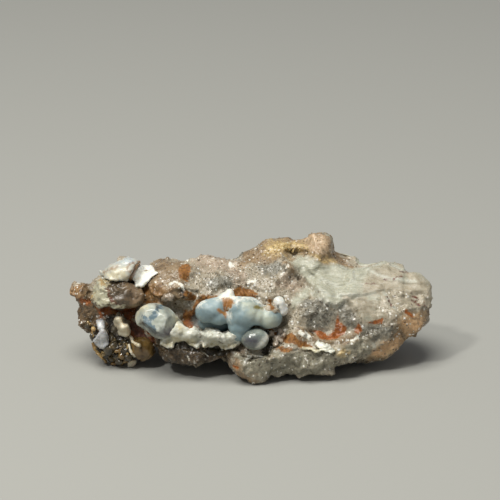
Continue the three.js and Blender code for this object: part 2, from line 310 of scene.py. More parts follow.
# Lumps that fill out the rock, as balls: centre, radii and turn, in millimetres and degrees.
ROCK_LUMPS = [
    ((12.4, 4.4, 18.8), (1.8, 2.4, 2.1), (0, 0, 0)),
    ((11.1, 4.8, 18.9), (1.7, 2.2, 2.0), (0, 0, 0)),
    ((27.8, -2.6, 8.0), (2.6, 2.6, 2.6), (0, 0, 0)),
    ((27.4, -4.6, 7.0), (2.0, 2.2, 1.8), (0, 0, 0)),
    ((28.1, -0.8, 11.7), (2.8, 4.6, 1.7), (40, 0, 0)),
    ((-14.2, 3.0, 15.3), (3.4, 3.0, 1.6), (0, 0, 0)),
    ((4.0, -7.2, 1.5), (1.5, 2.0, 1.6), (0, 0, 0)),
    ((8.6, -7.4, 1.8), (2.4, 2.0, 1.4), (0, 0, 0)),
    ((12.0, -7.2, 2.2), (2.0, 2.0, 1.5), (0, 0, 0)),
    ((4.8, -11.0, 1.8), (2.2, 1.8, 1.4), (0, 0, 0)),
    ((8.4, -11.0, 1.9), (2.3, 1.6, 1.3), (0, 0, 0)),
    ((12.4, -10.2, 1.7), (2.0, 1.6, 1.5), (0, 0, 0)),
    ((-3.0, -11.4, 1.8), (1.3, 1.4, 1.3), (0, 0, 0)),
    ((-28.6, -1.2, 6.6), (1.4, 2.0, 2.2), (0, 0, 0)),
    ((-29.2, -0.6, 12.2), (2.1, 2.4, 2.0), (0, 0, 0)),
]

# Hollows of the rock: centre and radius in millimetres, and depth.
HOLLOWS = [((17.6, 5.0, 16.8), 4.6, 1.3), ((20.6, 5.0, 16.2), 3.6, 0.6)]

# Flat faces that the rock breaks in: the width of each size in millimetres, how flat they are on
# the rough rock and on its smooth parts, and how far they tilt.
FACETS = [(4.2, 0.8, 0.45, 0.6), (2.0, 0.7, 0.1, 0.8)]

# Chips broken off the rock: how many, their width, depth and tilt, and their share on smooth zones.
CHIPS = [(140, 3.6, 0.3, 0.1, 0.4), (600, 1.8, 0.18, 0.15, 0.25), (2400, 0.9, 0.12, 0.22, 0.1)]

# How deep the rock is sunk at these distances outside the growths, so that it stays below them.
SEAT = ((-1.0, 0.0, 0.6, 1.2), (0.9, 0.9, 0.7, 0.0))

# The share of a growth's reach that its flats leave, and the width of its broken faces in mm.
FLAT_SHARE = 0.8
BREAK_WIDTH = 1.5

# How wide the seam between two balls of a growth is, as a share of their radius.
SEAM_WIDTH = 0.5

# What grew on the rock. Each ball is its centre, its radii and its turn in degrees, in
# millimetres in the stone's own frame, as its solid has it.
BLUE_LOBES = [
    ((-7.4, -8.5, 11.5), (2.1, 2.3, 1.9), (0, 0, 0)),
    ((-5.8, -8.4, 12.3), (1.9, 2.1, 1.7), (0, 0, 0)),
    ((-5.5, -9.0, 11.0), (1.9, 2.1, 1.5), (0, 0, 0)),
    ((-1.2, -9.3, 11.6), (2.9, 3.0, 2.4), (0, 0, 0)),
    ((-0.2, -8.6, 12.5), (2.3, 2.4, 1.5), (0, 14, 0)),
    ((-2.6, -9.4, 11.0), (1.8, 2.2, 1.9), (0, 0, 0)),
    ((2.7, -8.8, 10.7), (2.1, 2.5, 1.9), (0, 10, 0)),
    ((0.9, -9.2, 11.2), (1.6, 2.4, 1.7), (0, 0, 0)),
    ((3.8, -8.6, 10.4), (1.4, 2.0, 1.5), (0, 0, 0)),
    ((-2.0, -9.9, 9.5), (2.0, 2.0, 1.8), (0, 0, 0)),
    ((-2.1, -10.1, 8.3), (1.5, 1.6, 1.4), (0, 0, 0)),
    ((-4.2, -7.2, 13.5), (1.5, 1.8, 0.9), (0, 0, 0)),
    ((-3.7, -6.9, 14.2), (0.8, 1.3, 0.8), (0, 0, 0)),
    ((-2.4, -9.3, 12.6), (1.6, 2.4, 1.9), (0, 0, 0)),
    ((-6.2, -7.0, 8.9), (2.9, 1.9, 1.8), (0, 0, 0)),
    ((-1.2, -9.2, 12.9), (2.3, 2.3, 1.4), (0, 0, 0)),
    ((-6.6, -8.7, 11.9), (2.6, 2.3, 1.8), (0, 12, 0)),
]
BANDED_LOBE = [
    ((-16.6, -8.0, 10.3), (2.9, 3.2, 2.3), (0, 0, 0)),
    ((-15.2, -8.3, 9.5), (2.8, 3.3, 2.7), (0, 30, 0)),
    ((-13.7, -8.3, 8.9), (1.7, 2.3, 2.0), (0, 20, 0)),
    ((-18.1, -7.4, 10.0), (1.8, 2.3, 1.4), (0, 0, 0)),
]
GREY_BALL = [
    ((0.55, -11.0, 7.6), (2.4, 2.1, 1.85), (0, 0, 0)),
]
SMALL_LOBE = [
    ((4.6, -7.5, 12.9), (0.95, 1.2, 0.9), (0, 0, 0)),
    ((4.9, -7.6, 12.2), (1.0, 1.2, 0.8), (0, 0, 0)),
    ((5.2, -7.7, 11.5), (0.95, 1.2, 1.0), (0, 0, 0)),
]
NODULE = [
    ((-22.9, -4.0, 13.1), (4.3, 3.4, 2.3), (0, 10, 0)),
    ((-25.3, -4.0, 13.0), (2.1, 3.0, 2.3), (0, 0, 0)),
    ((-20.6, -3.8, 12.6), (2.4, 2.9, 2.0), (0, 10, 0)),
]
GOLDEN_BUD = [
    ((-18.4, -4.5, 3.2), (2.0, 2.4, 2.0), (0, 0, 0)),
    ((-19.3, -4.9, 3.9), (1.3, 2.1, 1.4), (0, 0, 0)),
]
LUMPS = BLUE_LOBES + BANDED_LOBE + GREY_BALL + SMALL_LOBE + NODULE + GOLDEN_BUD

# Sheets that lie over the front: an outline in pixels, or a line and its half width, the
# sheet's thickness in millimetres, and how ragged its edge is in pixels.
CAP_SHEETS = [
    ([(103, 272), (109.8, 265.6), (119, 261.5), (127, 258), (134.7, 259), (138, 261.6), (134, 267), (129.3, 276.5),
      (127, 280.4), (114.5, 280.4), (110.6, 276)], 0, 0.9, 0.3),
    ([(127.7, 265), (132, 262.6), (137.4, 262.4), (134, 267.4), (130, 275), (127.5, 271)], 0, 1.15, 0.4),
    ([(99.6, 270.6), (104, 272.4), (110.6, 275), (114, 279.6), (112, 280), (105.5, 278), (101.6, 275)], 0, 1.1, 0.5),
]
RIB_SHEETS = [
    ([(138.4, 262.4), (135, 268), (131, 278.6)], 1.5, 0.55, 0.3),
]
PATCH_SHEETS = [
    ([(138.6, 268), (141.7, 265.6), (150.3, 266), (153.6, 267.6), (154.6, 271), (158, 272.8), (150.7, 277.4),
      (147.2, 281.4), (143.7, 286), (135.9, 287), (135.1, 281.1), (132, 279.2), (134.7, 273.3)], 0, 0.75, 0.6),
]
DRAPE_SHEETS = [
    ([(177, 317), (184, 326), (189.3, 329.6), (194.6, 327.4), (201, 329.4), (203, 338.6), (201, 343), (198.6, 348.6),
      (194.6, 347.6), (190.2, 345), (187, 341.4), (182.1, 340.4), (176, 342), (173.6, 344), (172, 347.6), (165.2, 346.6),
      (159.6, 342), (166, 336.6), (171, 333), (175, 327)], 0, 1.0, 1.3),
    ([(201, 332), (207, 328.4), (216, 330), (220, 333), (227, 331.6), (234, 334), (240, 339), (240.4, 343),
      (235.7, 346), (231, 348), (226, 348.6), (221, 348.6), (219, 344.6), (213.5, 346), (207, 345.6), (203.4, 347.4),
      (200, 342)], 0, 1.0, 1.3),
    ([(178, 322), (183, 327), (183, 333), (177, 335), (175, 330)], 0, 1.25, 1.0),
    ([(188, 333), (193, 330), (198, 333), (198, 341), (191, 342)], 0, 1.3, 1.0),
    ([(205, 331.6), (214, 331), (218, 337), (212, 341), (206, 339)], 0, 1.25, 1.0),
    ([(221, 335), (228, 334), (234, 338), (232, 343), (225, 345), (220, 341)], 0, 1.3, 1.0),
    ([(236, 338), (240, 339.4), (240, 343), (236, 343)], 0, 1.3, 0.6),
]
SHELF_SHEETS = [
    ([(268.8, 333), (268.4, 338), (263, 343.4), (257, 348.4)], 0.6, 0.75, 0.6),
    ([(315, 340), (322, 343.4), (330, 346), (334.6, 351), (330, 352.4), (322, 349.4), (317, 347)], 0, 0.4, 1.8),
    ([(303, 348.4), (311, 349), (318, 351.4)], 1.0, 0.3, 1.0),
]
RIM_SHEETS = [
    ([(130, 337), (132.6, 341), (136, 344.6), (138.6, 346)], 1.0, 0.9, 1.2),
    ([(129, 345), (130.4, 351), (134, 356)], 0.8, 0.8, 1.2),
    ([(127, 364), (131, 361), (135, 362), (133, 366), (128, 367)], 0, 0.7, 1.0),
]
GOLD_RIMS = [
    ([(115, 351.6), (120, 350.4), (126, 352), (128.6, 357)], 0.5, 0.8, 1.4),
    ([(127, 361), (121, 364), (113, 363)], 0.5, 0.8, 1.4),
    ([(92.6, 343), (94.6, 350), (100, 356), (106, 362)], 0.5, 0.7, 1.4),
    ([(102, 352.6), (107, 352), (111, 348)], 0.4, 0.8, 1.4),
    ([(122, 341), (127, 345), (127, 350)], 0.4, 0.8, 1.3),
    ([(88, 322), (90, 330), (93, 336)], 0.4, 0.6, 1.3),
]
TOOTH_SHEETS = [
    ([(101, 329), (98.4, 334.8), (94.2, 339.5), (96, 345), (100, 348), (104, 349), (108.6, 344), (106.4, 334),
      (104, 330)], 0, 1.2, 0.5),
    ([(96.6, 321), (101.8, 319.6), (104, 325), (103.6, 331), (98, 329)], 0, 0.9, 0.5),
]
CREAM_SHEETS = [
    ([(117.6, 317), (122.3, 316.8), (121.8, 318.8), (123.4, 322.4), (127.7, 324.7), (130.4, 330.9), (129, 334.5),
      (125.4, 336.8), (119.6, 335), (118.4, 332), (119.4, 329.4), (114.5, 325.4), (113.4, 322), (114.4, 319)],
     0, 1.8, 0.3),
]

# The sheets that lie on the rock, and how far it is sunk under them, in millimetres.
ROCK_SHEETS = CAP_SHEETS + RIB_SHEETS + PATCH_SHEETS + DRAPE_SHEETS
SHEET_SEAT = 0.3

# The step between a sheet's points and the width of its rounded edge, in pixels, how far it goes
# into the stone, in millimetres, how much wider it is made than its outline, because its skin
# shrinks by as much, how far its parts may lie before and behind its middle, in millimetres, and
# how often the solid's form is evened out under it.
SHEET_STEP = 0.7
SHEET_EDGE = 2.6
SHEET_BACK = 1.9
SHEET_SPREAD = 1.0
SHEET_LEAN = 1.5
SHEET_CALM = 24

# Small round growths that sit on the front: the photograph's pixel and the radius in pixels.
OLIVE_BUDS = [(134, 343, 3.4), (134, 352, 3.2), (139, 358, 2.6), (121.5, 357, 4.4), (126, 360, 3)]
GOLD_BEADS = [(93.5, 329, 2.6), (92, 326, 1.6), (96.5, 349, 2.4), (117.6, 362.6, 2.6), (90, 324, 1.6)]
DARK_BUDS = [
    (116, 345, 5.6), (109, 350, 5.4), (104, 355, 5.2), (115, 355, 4.8), (127, 349, 4.6), (97, 351, 4.2), (101, 359, 4),
    (110, 360, 5), (128, 358, 4.4), (118, 361, 4.4), (111, 338, 4.4), (123, 343, 4), (92, 338, 3.8), (90, 330, 3.4),
    (95, 345, 3.6), (131, 363, 3), (88, 325, 3.2),
]
QUARTZ_LUMPS = [
    (272, 333, 3.4), (277, 338, 3.8), (281, 332, 3), (275, 344, 3), (282, 341, 2.6), (285, 336, 2.4),
    (166, 297, 4.6), (170, 296, 4.2), (163, 299, 3),
]

class RockSettings(PropertyGroup):
    """Sizes and colours of the rock."""

    voxel: FloatProperty(name="Voxel", description="Size of the rock's faces", default=0.26 * MM, unit="LENGTH")
    passes: IntProperty(name="Smoothing", description="Smoothing passes over the solid's facets", default=12, min=0)
    point_spacing: FloatProperty(
        name="Point spacing", description="Width of the finest faces of the druse", default=0.65 * MM, unit="LENGTH"
    )
    point_depth: FloatProperty(name="Point depth", description="Slope of the finest faces", default=0.22, min=0)
    relief: FloatProperty(name="Relief", description="Height of the rolling relief", default=0.32 * MM, unit="LENGTH")
    base: FloatVectorProperty(
        name="Quartz", description="Grey-brown quartz", subtype="COLOR", size=3, default=(0.48, 0.43, 0.325)
    )
    shade: FloatVectorProperty(
        name="Shade", description="Darker quartz between the grains", subtype="COLOR", size=3, default=(0.24, 0.2, 0.135)
    )


class GrowthSettings(PropertyGroup):
    """Sizes and colours of the lobes and buds."""

    blue: FloatVectorProperty(
        name="Blue", description="Sky-blue chalcedony", subtype="COLOR", size=3, default=(0.19, 0.275, 0.3)
    )
    milk: FloatVectorProperty(
        name="Milk", description="Milky rims and crusts", subtype="COLOR", size=3, default=(0.78, 0.78, 0.7)
    )


class DruseSettings(PropertyGroup):
    """Number and size of the crystal points."""

    count: IntProperty(name="Points", description="Crystal points on each side of the stone", default=6000, min=0)
    sink: FloatProperty(name="Sink", description="How deep a point sits, as a share of its radius", default=0.9, min=0)
    smallest: FloatProperty(name="Smallest", description="Radius of the smallest points", default=0.06 * MM, unit="LENGTH")
    largest: FloatProperty(name="Largest", description="Radius of the largest points", default=0.17 * MM, unit="LENGTH")


class StageSettings(PropertyGroup):
    """Floor, light and camera."""

    floor: FloatVectorProperty(
        name="Floor", description="Colour of the floor", subtype="COLOR", size=3, default=(0.34, 0.34, 0.315)
    )
    key_power: FloatProperty(name="Key light", description="Power of the softbox overhead", default=4.1, unit="POWER")
    spark_power: FloatProperty(name="Spark light", description="Power of the small front light", default=1.5, unit="POWER")
    fill: FloatProperty(name="Fill", description="Strength of the light from all round", default=0.24, min=0)


class ChalcedonySettings(PropertyGroup):
    """All that a user would change."""

    rock: PointerProperty(type=RockSettings)
    growth: PointerProperty(type=GrowthSettings)
    druse: PointerProperty(type=DruseSettings)
    stage: PointerProperty(type=StageSettings)


def seen_at(points):
    """Where points, in millimetres, lie in the photograph, in pixels."""
    from_camera = points * MM - np.array(CAMERA_AT)
    depth = from_camera @ -np.array(TO_CAMERA)
    pixels = CAMERA_DISTANCE / depth / PIXEL
    across = FRAME_SIDE / 2 + from_camera @ np.array(CAMERA_RIGHT) * pixels
    down = FRAME_SIDE / 2 - from_camera @ np.array(CAMERA_UP) * pixels
    return np.column_stack((across, down))


def sight_line(x, y):
    """The direction from the camera through a pixel of the photograph."""
    across = (x - FRAME_SIDE / 2) * PIXEL
    up = (FRAME_SIDE / 2 - y) * PIXEL
    return (across * CAMERA_RIGHT + up * CAMERA_UP - CAMERA_DISTANCE * TO_CAMERA).normalized()


def solid_copy():
    """The stone's solid as a bmesh with its doubled points merged."""
    bm = bmesh.new()
    bm.from_mesh(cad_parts[SOLID].data)
    bmesh.ops.remove_doubles(bm, verts=bm.verts, dist=0.001 * MM)
    return bm


def surface_tree():
    bm = solid_copy()
    tree = BVHTree.FromBMesh(bm)
    bm.free()
    return tree


SURFACE = surface_tree()


def on_surface(x, y):
    """The place and outward direction of the solid at a pixel of the photograph, in metres.

    Past the solid's outline it is the place that the sight line comes nearest to.
    """
    line = sight_line(x, y)
    place, outward, _, _ = SURFACE.ray_cast(CAMERA_AT, line)
    if place is None:
        steps = (CAMERA_AT + line * CAMERA_DISTANCE * (0.95 + 0.002 * step) for step in range(50))
        nearest = min((SURFACE.find_nearest(step) for step in steps), key=lambda found: found[3])
        place, outward = nearest[:2]
    return place, outward


def points_of(mesh):
    """A mesh's points, in millimetres, and its outward directions, as arrays."""
    points = np.empty(len(mesh.vertices) * 3)
    mesh.vertices.foreach_get("co", points)
    outward = np.empty(len(mesh.vertices) * 3)
    mesh.vertex_normals.foreach_get("vector", outward)
    return points.reshape(-1, 3) / MM, outward.reshape(-1, 3)


def put_points(mesh, points):
    """Moves a mesh's points to places in millimetres, inside the solid's box."""
    low, high = (np.array(corner) for corner in CAD_BOX)
    mesh.vertices.foreach_set("co", np.clip(points * MM, low, high).ravel())
    mesh.update()


def rolling(points, spacing, octaves, seed):
    """Soft relief from about -1 to 1 at points in millimetres."""
    shift = Vector((seed * 17.3, seed * 5.1, seed * 11.7))
    return np.array([noise.fractal(Vector(p) / spacing + shift, 0.9, 2.0, octaves) for p in points])


def broken_faces(points, spacing, seed):
    """Heights of flat faces at random tilts, one for each cell of a scatter, as shares of spacing."""
    shift = Vector((seed * 7.7, seed * 13.1, seed * 3.9))
    half = Vector((0.5, 0.5, 0.5))
    heights = []
    for point in points:
        place = Vector(point) / spacing + shift
        nearest = noise.voronoi(place)[1][0]
        tilt = noise.cell_vector(nearest * 61.7) - half
        heights.append((place - nearest).dot(tilt))
    return np.array(heights)


def faceted(points, outward, spacing, share, tilt, seed):
    """Points brought by a share to flat tilted faces, one for each cell of a scatter."""
    shift = Vector((seed * 9.1, seed * 4.3, seed * 15.7))
    nearest = [noise.voronoi(Vector(point) / spacing + shift)[1][0][:] for point in points]
    seeds, cell = np.unique(np.round(nearest, 4), axis=0, return_inverse=True)
    cell = cell.ravel()
    middle = np.zeros((len(seeds), 3))
    normal = np.zeros((len(seeds), 3))
    np.add.at(middle, cell, points)
    np.add.at(normal, cell, outward)
    middle /= np.bincount(cell)[:, None]
    normal /= np.maximum(1e-6, np.linalg.norm(normal, axis=1))[:, None]
    face = normal + tilt * np.array([noise.cell_vector(Vector(place) * 61.7)[:] for place in seeds]) - tilt / 2
    above = ((points - middle[cell]) * face[cell]).sum(axis=1)
    return points - (share * above)[:, None] * normal[cell]


def chipped(points, outward, chance, random):
    """Points with flat chips cut off at random places, where chance gives how likely each is."""
    tree = KDTree(len(points))
    for index, place in enumerate(points):
        tree.insert(place, index)
    tree.balance()
    whole = points.copy()
    for count, width, depth, tilt, smooth_share in CHIPS:
        weight = chance[0] + smooth_share * chance[1]
        for index in random.choice(len(points), count, p=weight / weight.sum()):
            normal = outward[index] + random.normal(0, tilt, 3)
            normal /= np.linalg.norm(normal)
            reach = width * random.uniform(0.5, 1.4)
            found = tree.find_range(whole[index], reach)
            near = np.array([each[1] for each in found])
            fade = np.clip(2 - 2 * np.array([each[2] for each in found]) / reach, 0, 1)
            above = (points[near] - whole[index]) @ normal + depth * random.uniform(0.3, 1.2)
            cut = (above > 0) & (above < 4 * depth) & (outward[near] @ normal > 0.2)
            points[near[cut]] -= (above * fade)[cut, None] * normal
    return points


def line_distance(seen, line):
    """How far pixels lie from a line of points."""
    nearest = np.full(len(seen), np.inf)
    for start, end in zip(line[:-1], line[1:]):
        along = end - start
        share = np.clip((seen - start) @ along / (along @ along), 0, 1)
        nearest = np.minimum(nearest, np.linalg.norm(seen - start - share[:, None] * along, axis=1))
    return nearest


def depth_inside(seen, points, half_width):
    """How far pixels lie inside a line's width, or an area; less than 0 outside it."""
    line = np.array(points, float)
    if half_width:
        return half_width - line_distance(seen, line)
    closed = np.vstack((line, line[:1]))
    inside = np.zeros(len(seen), bool)
    for start, end in zip(closed[:-1], closed[1:]):
        beside = (start[1] > seen[:, 1]) != (end[1] > seen[:, 1])
        rise = end[1] - start[1] or 1.0
        crossing = start[0] + (seen[:, 1] - start[1]) / rise * (end[0] - start[0])
        inside ^= beside & (seen[:, 0] < crossing)
    distance = line_distance(seen, closed)
    return np.where(inside, distance, -distance)


def facing_camera(outward):
    """1 where a surface faces the photograph's camera, fading to 0 where it turns away."""
    turned = outward @ np.array(TO_CAMERA)
    return np.clip((turned + 0.2) / 0.25, 0, 1)


def zone_values(points, outward, zones, hidden=None):
    """For each zone, a value that is 0.5 on its edge, and nears 1 inside it and 0 outside."""
    seen = seen_at(points)
    front = facing_camera(outward)
    wander = HIDDEN_WANDER * rolling(points, 1.3, 3, 8) if hidden else 0
    values = {}
    for name, shapes in zones.items():
        depth = np.max([depth_inside(seen, *shape) for shape in shapes], axis=0)
        values[name] = np.clip(0.5 + depth / ZONE_DEPTH / 2, 0, 1) * front
        for centre, radii in (hidden or {}).get(name, []):
            reach = np.linalg.norm((points - np.array(centre)) / np.array(radii), axis=1)
            behind = np.clip(1 - reach / 2 + wander, 0, 1) * (1 - front)
            values[name] = np.maximum(values[name], behind)
    return values


def well_inside(value):
    """A zone's value as 1 inside and 0 outside, with a narrow edge."""
    return np.clip((value - 0.5) * 8 + 0.5, 0, 1)


def ledge_rise(seen, points, fade):
    """1 on the upper side of a line, fading away from it, and 0 on its lower side."""
    line = np.array(points, float)
    nearest = np.full(len(seen), np.inf)
    rise = np.zeros(len(seen))
    for start, end in zip(line[:-1], line[1:]):
        length = np.linalg.norm(end - start)
        along = (end - start) / length
        run = (seen - start) @ along
        above = (seen - start) @ np.array((along[1], -along[0]))
        distance = np.hypot(above, np.maximum(0, np.maximum(-run, run - length)))
        rise_here = np.where(above > 0, np.clip(1 - distance / fade, 0, 1), 0)
        rise = np.where(distance < nearest, rise_here, rise)
        nearest = np.minimum(nearest, distance)
    return rise


def keep_values(mesh, values):
    """Stores arrays on a mesh as attributes of its points."""
    for name, value in values.items():
        layer = mesh.attributes.new(name, "FLOAT", "POINT")
        layer.data.foreach_set("value", np.asarray(value, np.float32))


def add_ball(bm, at, size, turn=(0, 0, 0), detail=4):
    """Adds a turned ellipsoid, in millimetres."""
    angles = Euler([math.radians(angle) for angle in turn])
    placed = Matrix.LocRotScale(Vector(at) * MM, angles, Vector(size) * MM)
    bmesh.ops.create_icosphere(bm, subdivisions=detail, radius=1, matrix=placed)


def voxel_skin(bm, voxel, passes):
    """The overlapping shells of a bmesh as one even mesh, smoothed."""
    mesh = bpy.data.meshes.new("skin")
    bm.to_mesh(mesh)
    bm.free()
    holder = bpy.data.objects.new("skin", mesh)
    bpy.context.scene.collection.objects.link(holder)
    remesh = holder.modifiers.new("Skin", "REMESH")
    remesh.mode = "VOXEL"
    remesh.voxel_size = voxel
    smooth = holder.modifiers.new("Smooth", "SMOOTH")
    smooth.factor = 0.5
    smooth.iterations = passes
    skin = bpy.data.meshes.new_from_object(holder.evaluated_get(bpy.context.evaluated_depsgraph_get()))
    bpy.data.objects.remove(holder)
    bpy.data.meshes.remove(mesh)
    return skin


def flattened(points, directions, share):
    """Points with flats in these directions, each at a share of the piece's reach that way."""
    centre = points.mean(axis=0)
    for direction in directions:
        unit = np.array(direction) / np.linalg.norm(direction)
        reach = (points - centre) @ unit
        over = np.maximum(0, reach - share * reach.max())
        points = points - over[:, None] * unit
    return points


def add_sheet(bm, outline, half_width, thickness, ragged, seed, calm=SHEET_CALM, lean=SHEET_LEAN):
    """Adds a closed sheet that lies over an area of the photograph, in front of the solid."""
    low, high = np.min(outline, axis=0) - 4, np.max(outline, axis=0) + 4
    across, down = (np.arange(low[axis], high[axis], SHEET_STEP) for axis in (0, 1))
    seen = np.stack(np.meshgrid(across, down), axis=2)
    shape = seen.shape[:2]
    flat = seen.reshape(-1, 2)
    wander = rolling(np.column_stack((flat, np.zeros(len(flat)))), 2.6, 3, seed)
    depth = depth_inside(flat, outline, half_width) + ragged * wander + SHEET_SPREAD
    lines = np.array([sight_line(x, y) for x, y in flat.tolist()])
    places = np.array([on_surface(x, y)[0] for x, y in flat.tolist()])
    reach = ((places - np.array(CAMERA_AT)) * lines).sum(axis=1).reshape(shape)
    for _ in range(calm):
        padded = np.pad(reach, 1, mode="edge")
        reach = (padded[:-2, 1:-1] + padded[2:, 1:-1] + padded[1:-1, :-2] + padded[1:-1, 2:] + 4 * reach) / 8
    middle = np.median(reach.ravel()[depth > 0])
    reach = np.clip(reach, middle - lean * MM, middle + lean * MM)
    rounded = np.clip(depth / SHEET_EDGE, 0, 1)
    reach = reach.ravel() - thickness * MM * np.sqrt(rounded * (2 - rounded))
    front = np.array(CAMERA_AT) + lines * reach[:, None]
    inside = (depth > 0).reshape(shape)
    index = np.arange(len(flat)).reshape(shape)
    corners = [index[:-1, :-1], index[:-1, 1:], index[1:, 1:], index[1:, :-1]]
    whole = inside[:-1, :-1] & inside[:-1, 1:] & inside[1:, 1:] & inside[1:, :-1]
    cells = np.stack([corner[whole] for corner in corners], axis=1)
    made = {point: bm.verts.new(front[point]) for point in np.unique(cells)}
    faces = [bm.faces.new([made[point] for point in cell]) for cell in cells]
    back = bmesh.ops.extrude_face_region(bm, geom=faces)["geom"]
    back_points = [part for part in back if isinstance(part, bmesh.types.BMVert)]
    bmesh.ops.translate(bm, verts=back_points, vec=-TO_CAMERA * SHEET_BACK * MM)


def softened(mesh, passes):
    """Rounds a mesh's sharpest edges."""
    bm = bmesh.new()
    bm.from_mesh(mesh)
    for _ in range(passes):
        bmesh.ops.smooth_vert(bm, verts=bm.verts, factor=0.5, use_axis_x=True, use_axis_y=True, use_axis_z=True)
    bm.to_mesh(mesh)
    bm.free()


def finished(name, mesh, material, smooth=True):
    """Makes a mesh a named piece of the stone."""
    mesh.name = name
    mesh.materials.clear()
    mesh.materials.append(material)
    mesh.polygons.foreach_set("use_smooth", [smooth] * len(mesh.polygons))
    piece = bpy.data.objects.new(name, mesh)
    bpy.context.scene.collection.objects.link(piece)
    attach(piece, BODY)
    return piece


def outside_lumps(points):
    """About how far points lie outside the nearest ball of what grew on the rock."""
    nearest = np.full(len(points), np.inf)
    for at, size, turn in LUMPS:
        unturn = np.array(Euler([math.radians(angle) for angle in turn]).to_matrix())
        local = (points - np.array(at)) @ unturn / np.array(size)
        reach = np.linalg.norm(local, axis=1)
        nearest = np.minimum(nearest, (reach - 1) * min(size))
    return nearest


def add_node(tree, kind, inputs=None, **options):
    """Adds a node, sets its options, and sets or joins its inputs."""
    made = tree.nodes.new(kind)
    for name, value in options.items():
        setattr(made, name, value)
    for name, value in (inputs or {}).items():
        if isinstance(value, bpy.types.NodeSocket):
            tree.links.new(value, made.inputs[name])
        else:
            made.inputs[name].default_value = value
    return made


def opaque(colour):
    return (*colour, 1.0)


def mixed(tree, amount, below, above):
    """A colour laid over another by an amount from 0 to 1."""
    mix = tree.nodes.new("ShaderNodeMix")
    mix.data_type = "RGBA"
    for index, value in ((0, amount), (6, below), (7, above)):
        if isinstance(value, bpy.types.NodeSocket):
            tree.links.new(value, mix.inputs[index])
        elif index == 0:
            mix.inputs[index].default_value = value
        else:
            mix.inputs[index].default_value = opaque(value)
    return mix.outputs[2]


def calculated(tree, operation, *values):
    """The result of a Math node."""
    return add_node(tree, "ShaderNodeMath", dict(enumerate(values)), operation=operation).outputs[0]


def spread(tree, value, low, high, to_low, to_high):
    """A value brought from one range to another, and kept inside it."""
    inputs = {"Value": value, "From Min": low, "From Max": high, "To Min": to_low, "To Max": to_high}
    return add_node(tree, "ShaderNodeMapRange", inputs).outputs["Result"]


def millimetres(tree, fineness):
    """Places on the stone, in millimetres times a fineness."""
    place = add_node(tree, "ShaderNodeTexCoord").outputs["Object"]
    metres_to_mm = add_node(tree, "ShaderNodeVectorMath", {0: place, "Scale": 1 / MM}, operation="SCALE")
    return add_node(tree, "ShaderNodeVectorMath", {0: metres_to_mm.outputs[0], "Scale": fineness}, operation="SCALE").outputs[0]


def new_group(name, inputs, outputs):
    """A node group with named sockets, with the nodes that stand for them inside it."""
    tree = bpy.data.node_groups.new(name, "ShaderNodeTree")
    for label, (kind, value) in inputs.items():
        socket = tree.interface.new_socket(label, in_out="INPUT", socket_type=kind)
        socket.default_value = value
    for label, kind in outputs.items():
        tree.interface.new_socket(label, in_out="OUTPUT", socket_type=kind)
    return tree, tree.nodes.new("NodeGroupInput").outputs, tree.nodes.new("NodeGroupOutput")


def patch_group():
    """A zone's ragged mask, from its attribute and a fine noise."""
    tree, given, result = new_group(
        "Patch",
        {
            "Amount": ("NodeSocketFloat", 0.0),
            "Fineness": ("NodeSocketFloat", 1.0),
            "Raggedness": ("NodeSocketFloat", 0.5),
            "Edge": ("NodeSocketFloat", 0.05),
        },
        {"Mask": "NodeSocketFloat"},
    )
    place = millimetres(tree, given["Fineness"])
    ragged = add_node(tree, "ShaderNodeTexNoise", {"Vector": place, "Scale": 1.0, "Detail": 4.0, "Roughness": 0.65})
    centred = calculated(tree, "SUBTRACT", ragged.outputs["Fac"], 0.5)
    moved = calculated(tree, "MULTIPLY_ADD", centred, given["Raggedness"], given["Amount"])
    low = calculated(tree, "SUBTRACT", 0.5, given["Edge"])
    high = calculated(tree, "ADD", 0.5, given["Edge"])
    inputs = {"Value": moved, "From Min": low, "From Max": high}
    mask = add_node(tree, "ShaderNodeMapRange", inputs, interpolation_type="SMOOTHSTEP")
    tree.links.new(mask.outputs["Result"], result.inputs["Mask"])
    return tree


def grain_group():
    """Crystal grains: a tone for each, and outward directions that tilt from grain to grain."""
    tree, given, result = new_group(
        "Grains",
        {"Fineness": ("NodeSocketFloat", 3.0), "Tilt": ("NodeSocketFloat", 0.5)},
        {"Tone": "NodeSocketFloat", "Edge": "NodeSocketFloat", "Normal": "NodeSocketVector"},
    )
    cells = add_node(tree, "ShaderNodeTexVoronoi", {"Vector": millimetres(tree, given["Fineness"]), "Scale": 1.0})
    colour = add_node(tree, "ShaderNodeSeparateColor", {"Color": cells.outputs["Color"]})
    centred = add_node(tree, "ShaderNodeVectorMath", {0: cells.outputs["Color"], 1: (0.5, 0.5, 0.5)}, operation="SUBTRACT")
    tilt = add_node(tree, "ShaderNodeVectorMath", {0: centred.outputs[0], "Scale": given["Tilt"]}, operation="SCALE")
    outward = add_node(tree, "ShaderNodeNewGeometry").outputs["Normal"]
    tilted = add_node(tree, "ShaderNodeVectorMath", {0: outward, 1: tilt.outputs[0]}, operation="ADD")
    normal = add_node(tree, "ShaderNodeVectorMath", {0: tilted.outputs[0]}, operation="NORMALIZE")
    tree.links.new(colour.outputs[0], result.inputs["Tone"])
    tree.links.new(cells.outputs["Distance"], result.inputs["Edge"])
    tree.links.new(normal.outputs[0], result.inputs["Normal"])
    return tree


